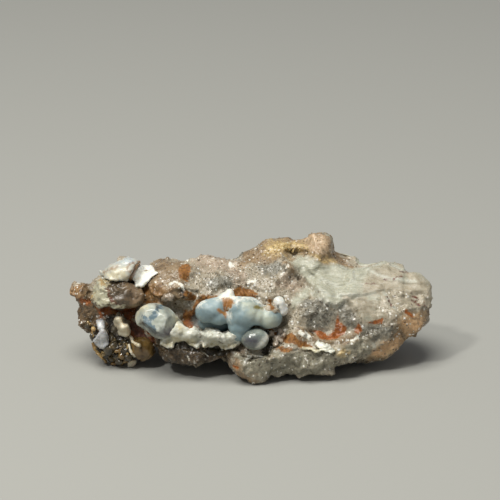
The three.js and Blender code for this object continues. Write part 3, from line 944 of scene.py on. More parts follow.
def mottle_group():
    """A mottled colour between two."""
    tree, given, result = new_group(
        "Mottle",
        {
            "Fineness": ("NodeSocketFloat", 1.0),
            "Low": ("NodeSocketColor", opaque((0, 0, 0))),
            "High": ("NodeSocketColor", opaque((1, 1, 1))),
            "Stretch": ("NodeSocketVector", (1, 1, 1)),
        },
        {"Color": "NodeSocketColor", "Value": "NodeSocketFloat"},
    )
    place = add_node(
        tree, "ShaderNodeVectorMath", {0: millimetres(tree, given["Fineness"]), 1: given["Stretch"]}, operation="MULTIPLY"
    )
    cloud = add_node(tree, "ShaderNodeTexNoise", {"Vector": place.outputs[0], "Scale": 1.0, "Detail": 5.0, "Roughness": 0.6})
    value = spread(tree, cloud.outputs["Fac"], 0.32, 0.68, 0.0, 1.0)
    tree.links.new(mixed(tree, value, given["Low"], given["High"]), result.inputs["Color"])
    tree.links.new(value, result.inputs["Value"])
    return tree


def place_group(tree, name, inputs):
    """Places a shared group in a material."""
    placed = tree.nodes.new("ShaderNodeGroup")
    placed.node_tree = bpy.data.node_groups[name]
    for label, value in inputs.items():
        if isinstance(value, bpy.types.NodeSocket):
            tree.links.new(value, placed.inputs[label])
        else:
            placed.inputs[label].default_value = value
    return placed.outputs


def zone_of(tree, name):
    return add_node(tree, "ShaderNodeAttribute", attribute_name=name).outputs["Fac"]


def patch(tree, zone, fineness=1.2, raggedness=0.5, edge=0.05):
    """The ragged mask of a zone of the piece."""
    inputs = {"Amount": zone_of(tree, zone), "Fineness": fineness, "Raggedness": raggedness, "Edge": edge}
    return place_group(tree, "Patch", inputs)["Mask"]


def mottled(tree, fineness, low, high, stretch=(1, 1, 1)):
    inputs = {"Fineness": fineness, "Low": opaque(low), "High": opaque(high), "Stretch": stretch}
    return place_group(tree, "Mottle", inputs)


def new_material(name):
    """A material whose tree holds only its output and its shader."""
    material = bpy.data.materials.new(name)
    material.use_nodes = True
    tree = material.node_tree
    tree.nodes.clear()
    shader = tree.nodes.new("ShaderNodeBsdfPrincipled")
    output = tree.nodes.new("ShaderNodeOutputMaterial")
    tree.links.new(shader.outputs["BSDF"], output.inputs["Surface"])
    shader.inputs["IOR"].default_value = 1.54
    return material, tree, shader


def glow_through(shader, weight, depth):
    """Lets light into a piece to a depth in millimetres."""
    shader.inputs["Subsurface Weight"].default_value = weight
    shader.inputs["Subsurface Radius"].default_value = (1.0, 0.8, 0.6)
    shader.inputs["Subsurface Scale"].default_value = depth * MM


def fine_bump(tree, shader, fineness, strength, normal=None, more=0.0):
    """A fine relief over the shader's surface, with more height added to it."""
    cloud = add_node(tree, "ShaderNodeTexNoise", {"Vector": millimetres(tree, fineness), "Scale": 1.0, "Detail": 3.0})
    height = calculated(tree, "ADD", cloud.outputs["Fac"], more)
    inputs = {"Height": height, "Strength": strength, "Distance": 0.1 * MM}
    if normal is not None:
        inputs["Normal"] = normal
    bump = add_node(tree, "ShaderNodeBump", inputs)
    tree.links.new(bump.outputs["Normal"], shader.inputs["Normal"])


def flecked(tree, colour, grains, dark_share, white_fleck_and_glint_share):
    """A colour with its darkest and lightest grains showing, as shares of all grains; the lightest are near white,
    partly white specks and partly painted glints.
    """
    colour = mixed(tree, spread(tree, grains["Tone"], 0.1, 0.7, 0.2, 0.0), colour, (0.16, 0.125, 0.085))
    dark = spread(tree, grains["Tone"], dark_share, dark_share * 1.3, 0.8, 0.0)
    colour = mixed(tree, dark, colour, (0.07, 0.05, 0.034))
    # The lightest grains, near white: partly white specks, partly painted glints.
    light = spread(tree, grains["Tone"], 1 - white_fleck_and_glint_share * 1.3, 1 - white_fleck_and_glint_share, 0.0, 0.85)
    return mixed(tree, light, colour, (0.86, 0.84, 0.77))


def make_rock_material(name, settings, tilt, roughness):
    """The rock and its crystal points, coloured by their zones."""
    material, tree, shader = new_material(name)
    smooth = patch(tree, "pale", 0.6, 0.9, 0.2)
    grains = place_group(tree, "Grains", {"Fineness": 3.2, "Tilt": spread(tree, smooth, 0.0, 1.0, tilt, 0.3 * tilt)})
    base, shade = tuple(settings.base), tuple(settings.shade)
    colour = mixed(
        tree, 0.5, mottled(tree, 0.3, shade, base)["Color"], mottled(tree, 2.0, shade, (0.52, 0.46, 0.37))["Color"]
    )
    layers = [
        ("pink", 0.6, 2.0, 0.3, mottled(tree, 0.9, (0.33, 0.25, 0.18), (0.5, 0.42, 0.32))["Color"]),
        # The foot's frost, darker as painted shade of the low faces.
        ("frost", 0.8, 1.6, 0.3, mottled(tree, 1.0, (0.16, 0.145, 0.1), (0.37, 0.345, 0.26))["Color"]),
        ("tan", 0.7, 1.6, 0.2, mottled(tree, 0.8, (0.18, 0.12, 0.065), (0.37, 0.265, 0.155))["Color"]),
        ("sand", 0.8, 1.0, 0.3, mottled(tree, 1.0, (0.44, 0.31, 0.19), (0.64, 0.49, 0.33), (1.6, 1, 0.5))["Color"]),
        ("gold", 1.3, 1.2, 0.3, mottled(tree, 1.4, (0.33, 0.22, 0.08), (0.68, 0.53, 0.265))["Color"]),
        ("pale", 0.6, 0.9, 0.2, mixed(
            tree,
            0.4,
            mottled(tree, 0.4, (0.35, 0.345, 0.26), (0.46, 0.46, 0.365), (0.35, 1, 1.6))["Color"],
            mottled(tree, 2.2, (0.27, 0.26, 0.19), (0.56, 0.56, 0.46), (0.12, 1, 1.2))["Color"],
        )),
        ("grey", 0.6, 1.6, 0.25, mottled(tree, 3.4, (0.14, 0.13, 0.1), (0.28, 0.265, 0.215))["Color"]),
        ("blush", 0.6, 1.2, 0.3, mottled(tree, 0.9, (0.3, 0.26, 0.185), (0.47, 0.42, 0.32))["Color"]),
        ("vein", 1.6, 0.3, 0.12, (0.5, 0.5, 0.42)),
        ("peach", 0.8, 1.0, 0.2, mottled(tree, 1.3, (0.44, 0.26, 0.12), (0.72, 0.48, 0.27))["Color"]),
        ("brown", 0.6, 1.6, 0.25, mottled(tree, 1.4, (0.07, 0.04, 0.018), (0.25, 0.165, 0.085))["Color"]),
        # Dark brown of the underside, darker still as painted shade.
        ("umber", 0.9, 0.9, 0.2, mottled(tree, 1.6, (0.012, 0.008, 0.004), (0.12, 0.08, 0.04))["Color"]),
        ("glass", 0.6, 1.4, 0.25, mottled(tree, 0.8, (0.16, 0.105, 0.055), (0.34, 0.25, 0.15), (1, 1, 1.6))["Color"]),
        ("amber", 0.7, 1.4, 0.25, mottled(tree, 1.1, (0.14, 0.072, 0.028), (0.39, 0.225, 0.095))["Color"]),
        ("red", 1.2, 0.6, 0.15, mottled(tree, 1.2, (0.09, 0.018, 0.002), (0.42, 0.12, 0.014))["Color"]),
        ("ochre", 1.8, 0.5, 0.06, mottled(tree, 2.6, (0.11, 0.04, 0.006), (0.35, 0.15, 0.024))["Color"]),
        ("rust", 2.0, 0.25, 0.05, mottled(tree, 2.4, (0.14, 0.034, 0.005), (0.38, 0.125, 0.022))["Color"]),
        ("maroon", 2.0, 0.4, 0.06, mottled(tree, 2.4, (0.04, 0.012, 0.008), (0.2, 0.07, 0.04))["Color"]),
        # Slate-blue painted shade under the left blue lobe.
        ("slate", 1.4, 0.5, 0.2, mottled(tree, 1.6, (0.07, 0.08, 0.08), (0.2, 0.22, 0.21))["Color"]),
        # Painted shade in the holes, cracks and gaps of the front, and dark patches behind.
        ("dark", 2.0, 0.45, 0.08, mottled(tree, 2.4, (0.006, 0.005, 0.003), (0.06, 0.045, 0.026))["Color"]),
        # White flecks, and a few painted glints on the brown underside.
        ("white", 2.0, 0.4, 0.05, mottled(tree, 1.5, (0.62, 0.6, 0.5), (0.88, 0.87, 0.8))["Color"]),
    ]
    for zone, fineness, raggedness, edge, above in layers:
        colour = mixed(tree, patch(tree, zone, fineness, raggedness, edge), colour, above)
    # Dark specks, and light specks that are partly painted glints.
    flecks = flecked(tree, colour, grains, 0.02, 0.025)
    calm = calculated(tree, "MAXIMUM", smooth, patch(tree, "white", 2.0, 0.4))
    for zone, share in (("ochre", 1.0), ("rust", 1.0), ("umber", 0.6), ("sand", 0.8), ("gold", 0.5)):
        calm = calculated(tree, "MAXIMUM", calm, calculated(tree, "MULTIPLY", patch(tree, zone, 1.8, 0.5), share))
    tree.links.new(mixed(tree, calculated(tree, "MULTIPLY", calm, 0.8), flecks, colour), shader.inputs["Base Color"])
    low, high = roughness
    dull = calculated(tree, "MAXIMUM", patch(tree, "ochre", 1.8, 0.5), patch(tree, "white", 2.0, 0.4))
    dull = calculated(tree, "MAXIMUM", dull, patch(tree, "red", 1.2, 0.6))
    rough = spread(tree, grains["Tone"], 0.0, 1.0, low, high)
    rough = calculated(tree, "MAXIMUM", rough, calculated(tree, "MULTIPLY", dull, 0.7))
    tree.links.new(rough, shader.inputs["Roughness"])
    glow_through(shader, 0.3, 0.4)
    streaks = mottled(tree, 1.6, (0, 0, 0), (1, 1, 1), (0.12, 1, 1.3))["Value"]
    streaks = calculated(tree, "MULTIPLY", calculated(tree, "MULTIPLY", streaks, smooth), 1.6)
    fine_bump(tree, shader, 7.0, 0.5, grains["Normal"], streaks)
    return material


class CHALCEDONY_OT_rock(Operator):
    """Make the rock from the stone's solid"""

    bl_idname = "chalcedony.rock"
    bl_label = "Make Rock"

    def execute(self, context):
        settings = context.scene.chalcedony.rock
        bm = solid_copy()
        for lump in ROCK_LUMPS:
            add_ball(bm, *lump)
        mesh = voxel_skin(bm, settings.voxel, settings.passes)
        points, outward = points_of(mesh)
        zones = zone_values(points, outward, ROCK_ZONES, HIDDEN_ZONES)
        inside = {name: well_inside(value) for name, value in zones.items()}
        under = zone_values(points, outward, {"sheets": [sheet[:2] for sheet in ROCK_SHEETS]})["sheets"]
        outside = outside_lumps(points)
        bare = np.clip((outside - 0.3) / 1.0, 0, 1)
        smooth = np.max([inside[name] for name in SMOOTH_ZONES], axis=0)
        rough = bare * (1 - smooth) * (1 - 0.6 * inside["tan"])
        random = np.random.RandomState(7)
        points += outward * (settings.relief / MM * rolling(points, 3.0, 2, 1) * bare)[:, None]
        even = np.maximum(smooth, 0.8 * inside["tan"])
        for width, rough_share, smooth_share, tilt in FACETS:
            share = bare * (rough_share + (smooth_share - rough_share) * even)
            points = faceted(points, outward, width, share, tilt, width)
        whole = points.copy()
        points = chipped(points, outward, (rough, bare - rough), random)
        points += (whole - points) * (0.85 * inside["pale"])[:, None]
        fine = settings.point_spacing / MM
        height = settings.point_depth * fine * broken_faces(points, fine, 4) * rough
        layers = -np.abs(rolling(points * np.array((0.2, 1, 1)), 1.7, 2, 5))
        layers -= 0.5 * np.abs(rolling(points * np.array((0.16, 1, 1.3)), 0.8, 1, 6))
        height += 0.2 * layers * inside["pale"] * (1 - inside["blush"]) * bare
        seen = seen_at(points)
        front = facing_camera(outward)
        for line, step, fade in LEDGES:
            height += step * ledge_rise(seen, line, fade) * front * bare
        height += 0.35 * broken_faces(points, 1.4, 9) * inside["frost"] * bare
        height += 0.4 * broken_faces(points, 1.5, 10) * inside["crag"] * bare
        height += 0.12 * inside["white"] - 0.35 * inside["dark"] - 0.35 * inside["red"]
        for centre, radius, depth in HOLLOWS:
            reach = np.linalg.norm(points - np.array(centre), axis=1) / radius
            height -= depth * np.clip(1 - reach * reach, 0, 1)
        height -= np.interp(outside, *SEAT) + SHEET_SEAT * well_inside(under)
        put_points(mesh, points + outward * height[:, None])
        softened(mesh, 1)
        keep_values(mesh, zones)
        material = make_rock_material("quartz_rock", settings, 0.5, (0.1, 0.5))
        rock = finished("rock", mesh, material)
        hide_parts(SOLID)
        return {"FINISHED"}


def make_lobe_material(name, low, high, layers, roughness=0.3, glow=0.45, coat=0.2, painted_top_light=0.0, bump=0.12):
    """Waxy chalcedony whose colours run softly into each other, with painted light that makes it paler where it faces
    up.
    """
    material, tree, shader = new_material(name)
    colour = mottled(tree, 0.45, low, high)["Color"]
    facing = add_node(tree, "ShaderNodeSeparateXYZ", {0: add_node(tree, "ShaderNodeNewGeometry").outputs["Normal"]})
    # Painted light: paler towards this colour where the surface faces up.
    colour = mixed(tree, spread(tree, facing.outputs["Z"], 0.1, 1.0, 0.0, painted_top_light), colour, (0.78, 0.79, 0.72))
    for zone, raggedness, edge, above in layers:
        colour = mixed(tree, patch(tree, zone, 1.4, raggedness, edge), colour, above)
    tree.links.new(colour, shader.inputs["Base Color"])
    shader.inputs["Roughness"].default_value = roughness
    shader.inputs["Coat Weight"].default_value = coat
    shader.inputs["Coat Roughness"].default_value = 0.12
    glow_through(shader, glow, 0.9)
    fine_bump(tree, shader, 3.5, bump)
    return material


def make_rimmed_material():
    """Dark chalcedony whose knobs have thin golden rims."""
    material, tree, shader = new_material("rimmed_chalcedony")
    rim = patch(tree, "seam", 1.6, 1.4, 0.1)
    inner = mottled(tree, 0.9, (0.006, 0.005, 0.003), (0.09, 0.07, 0.038))["Color"]
    colour = mixed(tree, rim, inner, mottled(tree, 0.8, (0.02, 0.012, 0.006), (0.34, 0.25, 0.12))["Color"])
    tree.links.new(colour, shader.inputs["Base Color"])
    shader.inputs["Roughness"].default_value = 0.22
    shader.inputs["Coat Weight"].default_value = 0.3
    fine_bump(tree, shader, 4.0, 0.3)
    return material


def grown(
    name, balls, material, zones=None, wave=0.06, breaks=0.0, flats=(), seed=0, voxel=0.16, sheets=(), calm=SHEET_CALM,
    lean=SHEET_LEAN, passes=3,
):
    """A piece of balls and sheets grown into each other, in millimetres.

    wave is the height of the rolls on its skin, breaks the depth of its broken faces, and flats
    are the directions that it is worn flat in.
    """
    bm = bmesh.new()
    for at, size, turn in balls:
        add_ball(bm, at, size, turn)
    for number, sheet in enumerate(sheets):
        add_sheet(bm, *sheet, seed + number, calm, lean)
    mesh = voxel_skin(bm, voxel * MM, passes)
    points, outward = points_of(mesh)
    points = flattened(points, flats, FLAT_SHARE)
    points += outward * (wave * rolling(points, 1.1, 3, seed))[:, None]
    if breaks:
        points += outward * (breaks * BREAK_WIDTH * broken_faces(points, BREAK_WIDTH, seed))[:, None]
    put_points(mesh, points)
    softened(mesh, 2)
    points, outward = points_of(mesh)
    keep_values(mesh, zone_values(points, outward, zones or {}) | {"seam": seam_values(points, balls)})
    return finished(name, mesh, material)


def seam_values(points, balls):
    """1 where a piece's nearest two balls meet, fading to 0 in a ball's own middle."""
    reach = []
    for at, size, turn in balls:
        unturn = np.array(Euler([math.radians(angle) for angle in turn]).to_matrix())
        reach.append(np.linalg.norm((points - np.array(at)) @ unturn / np.array(size), axis=1))
    if len(reach) < 2:
        return np.zeros(len(points))
    first, second = np.sort(np.array(reach), axis=0)[:2]
    return np.clip(1 - (second - first) / SEAM_WIDTH, 0, 1)


def seated_balls(buds, depth=1.0, sink=0.35):
    """Balls that sit on the solid where the photograph shows them, from pixels to millimetres."""
    balls = []
    for x, y, radius in buds:
        place, outward = on_surface(x, y)
        size = radius * PIXEL / MM
        centre = place / MM - outward * size * sink
        balls.append((tuple(centre), (size, size * depth, size), (0, 0, 0)))
    return balls


# Coloured zones of what grew on the rock, drawn as the rock's are.
BLUE_ZONES = {
    "milk": [
        ([(216, 300), (222, 292), (230, 287), (238, 292), (238, 300), (230, 300)], 0),
        ([(236, 302), (243, 298), (252, 298), (260, 302), (265, 307)], 1.1),
        ([(262, 307), (270, 307)], 2.2),
        ([(229, 320), (228, 310), (234, 302)], 1.1),
        ([(198, 306), (204, 302)], 1.2),
    ],
    "green": [([(254, 312), (262, 316), (270, 322)], 7), ([(244, 304), (254, 306)], 4)],
    # Deeper blue of the lobes; along their lower edges, under the left lobe, it is painted shade.
    "deep": [
        ([(194, 319), (206, 325), (224, 330)], 4.5),
        ([(276, 310), (281, 318), (274, 326)], 3.2),
        ([(199, 313), (216, 316)], 4),
        ([(198, 308), (204, 314)], 4),
        ([(240, 303), (250, 302), (260, 306)], 2.6),
    ],
    "olive": [([(255, 307), (262, 308)], 1.5)],
    "ochre": [
        ([(222, 299), (229, 298), (235, 302), (231, 308), (224, 307)], 0),
        ([(219, 310), (224, 314)], 1.6),
        ([(225, 309), (226, 318)], 1),
    ],
}
BANDED_ZONES = {
    "band": [
        ([(164, 304), (158, 308), (154, 314), (150, 320)], 2.4),
        ([(142, 315), (150, 318), (154, 326), (158, 334), (150, 332), (143, 326)], 0),
    ],
    # The lilac-grey lower right face, darkened as painted shade.
    "lilac": [([(163, 330), (172, 326), (179, 322), (178, 332), (166, 338), (158, 336)], 0)],
    # A painted shadow line along the lobe's ridge.
    "ridge": [([(166, 309), (169, 319), (164, 329), (158, 334)], 1.1)],
    "dark": [([(141, 322), (144, 324)], 1.2), ([(150, 329), (157, 334)], 0.9), ([(156, 306), (158, 309)], 0.7)],
    "cream": [([(134, 316), (138, 309), (146, 306)], 2.4), ([(176, 318), (179, 326)], 1.4)],
}


class CHALCEDONY_OT_lobes(Operator):
    """Make the blue lobes, the banded lobe, the grey ball and the small lobe"""

    bl_idname = "chalcedony.lobes"
    bl_label = "Make Lobes"

    def execute(self, context):
        settings = context.scene.chalcedony.growth
        milk = tuple(settings.milk)
        blue = make_lobe_material(
            "blue_chalcedony",
            tuple(settings.blue),
            (0.31, 0.4, 0.41),
            [
                # Deeper blue, and painted shade along the lobes' lower edges.
                ("deep", 0.6, 0.35, (0.165, 0.23, 0.245)),
                ("green", 0.6, 0.35, (0.46, 0.5, 0.42)),
                ("milk", 0.8, 0.2, milk),
                ("olive", 0.5, 0.1, (0.2, 0.17, 0.05)),
                ("ochre", 0.6, 0.08, (0.3, 0.14, 0.04)),
            ],
            0.5,
            coat=0.05,
            # A little painted light on the tops of the lobes.
            painted_top_light=0.05,
        )
        grown("blue_lobes", BLUE_LOBES, blue, BLUE_ZONES, wave=0.07, breaks=0.06, seed=11, passes=22)
        banded = make_lobe_material(
            "banded_chalcedony",
            (0.3, 0.33, 0.28),
            (0.53, 0.55, 0.48),
            [
                ("cream", 0.8, 0.2, (0.6, 0.56, 0.4)),
                ("band", 0.9, 0.08, (0.13, 0.19, 0.22)),
                # Lilac grey, darkened as painted shade on the lower right.
                ("lilac", 0.8, 0.3, (0.12, 0.11, 0.125)),
                # The painted shadow line of the ridge.
                ("ridge", 0.5, 0.3, (0.18, 0.19, 0.17)),
                ("dark", 0.6, 0.2, (0.04, 0.035, 0.03)),
            ],
        )
        faces = [(-0.15, -0.85, 0.5), (0.8, -0.6, 0.1), (-0.6, -0.6, -0.5), (-0.9, -0.3, 0.3)]
        grown("banded_lobe", BANDED_LOBE, banded, BANDED_ZONES, breaks=0.1, flats=faces, seed=12)
        grey = make_lobe_material(
            "grey_chalcedony",
            (0.16, 0.185, 0.165),
            (0.33, 0.365, 0.32),
            # The darker lower middle of the ball: partly its grey glass, partly painted shade.
            [("deep", 0.6, 0.4, (0.065, 0.062, 0.075)), ("milk", 0.5, 0.2, milk)],
            0.14,
        )
        zones = {
            # The ball's darker lower middle, partly painted shade.
            "deep": [([(248, 341), (255, 342)], 4.5)],
            "milk": [([(259, 347), (264, 341), (268, 336), (268, 331)], 1.8)],
        }
        grown("grey_ball", GREY_BALL, grey, zones, wave=0.05, seed=13)
        speck = [("dark", 0.4, 0.1, (0.03, 0.03, 0.03))]
        pearl = make_lobe_material("pearl_chalcedony", (0.58, 0.58, 0.54), (0.84, 0.84, 0.79), speck)
        zones = {"dark": [([(277.5, 306), (278.5, 309)], 0.5)]}
        grown("small_lobe", SMALL_LOBE, pearl, zones, wave=0.12, breaks=0.2, seed=14)
        return {"FINISHED"}


class CHALCEDONY_OT_crusts(Operator):
    """Make the nodule, the white cap with its rib and patch, the drapes and the shelf crust"""

    bl_idname = "chalcedony.crusts"
    bl_label = "Make Nodule, Cap and Drapes"

    def execute(self, context):
        settings = context.scene.chalcedony.growth
        milk = tuple(settings.milk)
        nodule = make_lobe_material(
            "nodule_chalcedony",
            (0.05, 0.034, 0.019),
            (0.15, 0.112, 0.07),
            [
                ("warm", 1.4, 0.3, (0.19, 0.13, 0.075)),
                ("rust", 0.8, 0.1, (0.12, 0.035, 0.012)),
                ("skin", 1.2, 0.1, (0.45, 0.43, 0.31)),
                ("gold", 1.6, 0.15, (0.34, 0.24, 0.11)),
            ],
            0.3,
            coat=0.2,
            bump=0.8,
        )
        zones = {
            "warm": [([(130, 284), (142, 292), (134, 306)], 6)],
            "rust": [([(106, 288), (109, 296), (113, 303), (120, 306)], 1.5)],
            "skin": [
                ([(88, 290), (91, 282), (97, 276), (106, 277), (108, 284), (106, 291), (108, 298), (111, 304), (98, 306),
                  (90, 298)], 0),
                ([(96, 304), (108, 307), (124, 307)], 1.2),
            ],
            "gold": [([(100, 278), (104, 284)], 2), ([(88, 290), (92, 297)], 1.6), ([(92, 282), (97, 280)], 1.2)],
        }
        facets = [(-0.3, -0.9, 0.3), (0.4, -0.8, 0.6), (0, -0.4, 1), (-1, -0.3, 0.4)]
        grown("nodule", NODULE, nodule, zones, wave=0.2, breaks=0.5, flats=facets, seed=21)
        cap = make_lobe_material(
            "white_chalcedony",
            (0.4, 0.4, 0.35),
            (0.62, 0.62, 0.54),
            [
                ("cream", 1.2, 0.25, (0.6, 0.55, 0.4)),
                ("blue", 0.8, 0.3, (0.5, 0.56, 0.58)),
                ("crease", 0.5, 0.15, (0.27, 0.15, 0.07)),
            ],
            0.35,
        )
        zones = {
            "cream": [([(104, 274), (114, 270), (126, 268), (126, 278), (110, 280)], 0)],
            "blue": [([(118, 260), (132, 261)], 2.2)],
            "crease": [
                ([(139, 263), (135, 268), (130, 280)], 1.2),
                ([(136, 262), (129, 265), (127, 269), (130, 272)], 0.4),
                ([(104, 272), (112, 269), (118, 266)], 0.4),
            ],
        }
        grown("white_cap", [], cap, zones, wave=0.12, breaks=0.22, seed=22, voxel=0.13, sheets=CAP_SHEETS, lean=2.2)
        chalk = make_lobe_material("white_crust", (0.66, 0.65, 0.58), (0.88, 0.88, 0.82), [], 0.5, 0.3, 0.0)
        rib = make_lobe_material("brown_chalcedony", (0.1, 0.052, 0.022), (0.3, 0.19, 0.1), [], 0.3)
        grown("cap_rib", [], rib, wave=0.1, breaks=0.1, seed=23, voxel=0.12, sheets=RIB_SHEETS)
        grown("white_patch", [], chalk, wave=0.1, breaks=0.2, seed=24, voxel=0.12, sheets=PATCH_SHEETS, calm=120, lean=3.4)
        drape = make_lobe_material(
            "drape_chalcedony",
            (0.42, 0.42, 0.34),
            milk,
            [("cream", 1.2, 0.3, (0.5, 0.45, 0.29)), ("shade", 1.4, 0.2, (0.16, 0.14, 0.1))],
            0.35,
            0.3,
        )
        zones = {
            "cream": [
                ([(166, 345), (176, 340), (192, 343)], 3.4),
                ([(176, 322), (182, 330)], 1.6),
                ([(203, 346), (214, 344), (224, 347), (236, 345)], 1.6),
            ],
            "shade": [
                ([(200, 329), (208, 328), (226, 330)], 1.6),
                ([(201, 334), (200, 344)], 0.8),
                ([(219, 334), (219.6, 343)], 0.5),
            ],
        }
        grown("white_drapes", [], drape, zones, wave=0.2, breaks=0.25, seed=25, voxel=0.13, sheets=DRAPE_SHEETS)
        zones = {"cream": [([(300, 347), (320, 352)], 3), ([(256, 349), (264, 343), (269, 334)], 3)]}
        grown("shelf_crust", [], drape, zones, wave=0.14, breaks=0.3, seed=26, voxel=0.12, sheets=SHELF_SHEETS)
        return {"FINISHED"}


class CHALCEDONY_OT_buds(Operator):
    """Make the buds of the left end and the quartz lumps"""

    bl_idname = "chalcedony.buds"
    bl_label = "Make Buds"

    def execute(self, context):
        cream = make_lobe_material("cream_chalcedony", (0.62, 0.53, 0.36), (0.88, 0.81, 0.64), [], 0.45, 0.3, 0.1)
        grown("cream_bud", [], cream, wave=0.12, breaks=0.12, seed=31, voxel=0.1, sheets=CREAM_SHEETS)
        grown("cream_rims", [], cream, wave=0.14, breaks=0.3, seed=36, voxel=0.1, sheets=RIM_SHEETS)
        grey = make_lobe_material("lilac_chalcedony", (0.3, 0.3, 0.31), (0.68, 0.69, 0.69), [])
        grown("grey_buds", [], grey, wave=0.14, breaks=0.25, seed=32, voxel=0.1, sheets=TOOTH_SHEETS)
        olive = make_lobe_material("olive_chalcedony", (0.06, 0.03, 0.007), (0.26, 0.165, 0.055), [], 0.16, coat=0.4)
        grown("olive_buds", GOLDEN_BUD + seated_balls(OLIVE_BUDS), olive, wave=0.16, breaks=0.15, seed=33, voxel=0.13)
        beads = make_lobe_material("gold_chalcedony", (0.14, 0.075, 0.02), (0.42, 0.29, 0.12), [], 0.25)
        grown("gold_beads", seated_balls(GOLD_BEADS, 1.2, 0.0), beads, seed=37, voxel=0.1)
        rimmed = make_rimmed_material()
        grown("dark_buds", seated_balls(DARK_BUDS, 1.1, 0.3), rimmed, wave=0.25, breaks=0.6, seed=34, voxel=0.11)
        grown("gold_rims", [], beads, wave=0.15, breaks=0.3, seed=38, voxel=0.1, sheets=GOLD_RIMS)
        clear = make_lobe_material("clear_quartz", (0.2, 0.15, 0.1), (0.44, 0.38, 0.31), [], 0.12)
        grown("quartz_lumps", seated_balls(QUARTZ_LUMPS, 1.2, -0.2), clear, wave=0.2, breaks=0.5, seed=35, voxel=0.13)
        return {"FINISHED"}


def crystal_point(sides=5):
    """The points and faces of one upright crystal: a short prism with a pyramid on it."""
    bm = bmesh.new()
    bmesh.ops.create_cone(bm, cap_ends=False, segments=sides, radius1=1.0, radius2=0.9, depth=1.2)
    top = [edge for edge in bm.edges if edge.is_boundary and all(vert.co.z > 0 for vert in edge.verts)]
    tip = bmesh.ops.extrude_edge_only(bm, edges=top)["geom"]
    tip_points = [part for part in tip if isinstance(part, bmesh.types.BMVert)]
    bmesh.ops.translate(bm, verts=tip_points, vec=(0, 0, 0.9))
    bmesh.ops.pointmerge(bm, verts=tip_points, merge_co=(0.15, 0.1, 1.4))
    bmesh.ops.triangulate(bm, faces=bm.faces)
    bmesh.ops.recalc_face_normals(bm, faces=bm.faces)
    bm.verts.index_update()
    points = np.array([vert.co[:] for vert in bm.verts])
    faces = np.array([[vert.index for vert in face.verts] for face in bm.faces])
    bm.free()
    return points, faces


def turned_frames(outward, spread_angle, random):
    """A rotation for each outward direction, tilted and spun at random."""
    count = len(outward)
    axis = outward + random.normal(0, spread_angle, (count, 3))
    axis /= np.linalg.norm(axis, axis=1)[:, None]
    side = np.cross(axis, random.normal(0, 1, (count, 3)))
    side /= np.linalg.norm(side, axis=1)[:, None]
    return np.stack((side, np.cross(axis, side), axis), axis=2)


def scattered(mesh, weights, count, random):
    """Places on a mesh's faces, chosen at random by area and weight: face and place arrays."""
    area = np.empty(len(mesh.polygons))
    mesh.polygons.foreach_get("area", area)
    chance = area * weights
    faces = random.choice(len(area), size=count, p=chance / chance.sum())
    centre = np.empty(len(area) * 3)
    mesh.polygons.foreach_get("center", centre)
    normal = np.empty(len(area) * 3)
    mesh.polygons.foreach_get("normal", normal)
    centre = centre.reshape(-1, 3)[faces] / MM
    jitter = random.normal(0, 0.08, (count, 3))
    return faces, centre + jitter, normal.reshape(-1, 3)[faces]


class CHALCEDONY_OT_druse(Operator):
    """Cover the rough parts of the rock in small crystal points"""

    bl_idname = "chalcedony.druse"
    bl_label = "Make Druse"

    def execute(self, context):
        settings = context.scene.chalcedony.druse
        rock = bpy.data.objects["rock"].data
        first = np.empty(len(rock.loops), int)
        rock.loops.foreach_get("vertex_index", first)
        start = np.empty(len(rock.polygons), int)
        rock.polygons.foreach_get("loop_start", start)
        corner = first[start]
        values = {}
        for name in ROCK_ZONES:
            value = np.empty(len(rock.vertices), np.float32)
            rock.attributes[name].data.foreach_get("value", value)
            values[name] = value[corner]
        plain = np.max([well_inside(values[name]) for name in SMOOTH_ZONES + ("ochre", "rust", "dark")], axis=0)
        points, _ = points_of(rock)
        hidden = np.clip(0.5 - outside_lumps(points[corner]), 0, 0.5) * 2
        weights = (1 - plain) * (1 - hidden) * (0.35 + 0.65 * well_inside(values["sparkle"]))
        normal = np.empty(len(rock.polygons) * 3)
        rock.polygons.foreach_get("normal", normal)
        front = normal.reshape(-1, 3) @ np.array(TO_CAMERA) > 0
        material = make_rock_material("quartz_points", context.scene.chalcedony.rock, 0.2, (0.08, 0.35))
        template, template_faces = crystal_point()
        for name, side in (("druse_front", front), ("druse_back", ~front)):
            random = np.random.RandomState(len(name))
            faces, places, outward = scattered(rock, weights * side, settings.count, random)
            radius = np.exp(random.uniform(np.log(settings.smallest), np.log(settings.largest), settings.count)) / MM
            stretch = random.uniform(0.7, 1.5, settings.count)
            shape = template[None] * np.stack((radius, radius, radius * stretch), axis=1)[:, None, :]
            turned = np.einsum("nij,nkj->nki", turned_frames(outward, 0.35, random), shape)
            sunk = places - outward * (radius * settings.sink)[:, None]
            points = (sunk[:, None] + turned).reshape(-1, 3)
            steps = np.arange(settings.count)[:, None, None] * len(template)
            mesh = bpy.data.meshes.new(name)
            mesh.from_pydata((points * MM).tolist(), [], (template_faces[None] + steps).reshape(-1, 3).tolist())
            put_points(mesh, points)
            keep_values(mesh, {zone: np.repeat(value[faces], len(template)) for zone, value in values.items()})
            finished(name, mesh, material, smooth=False)
        return {"FINISHED"}


def add_light(name, place, size, power, colour):
    """An area light at a place in metres that shines on the stone."""
    light = bpy.data.lights.new(name, "AREA")
    light.shape = "DISK"
    light.size = size
    light.energy = power
    light.color = colour
    lamp = bpy.data.objects.new(name, light)
    lamp.location = place
    lamp.rotation_euler = (LOOK_AT - Vector(place)).to_track_quat("-Z", "Y").to_euler()
    bpy.context.scene.collection.objects.link(lamp)


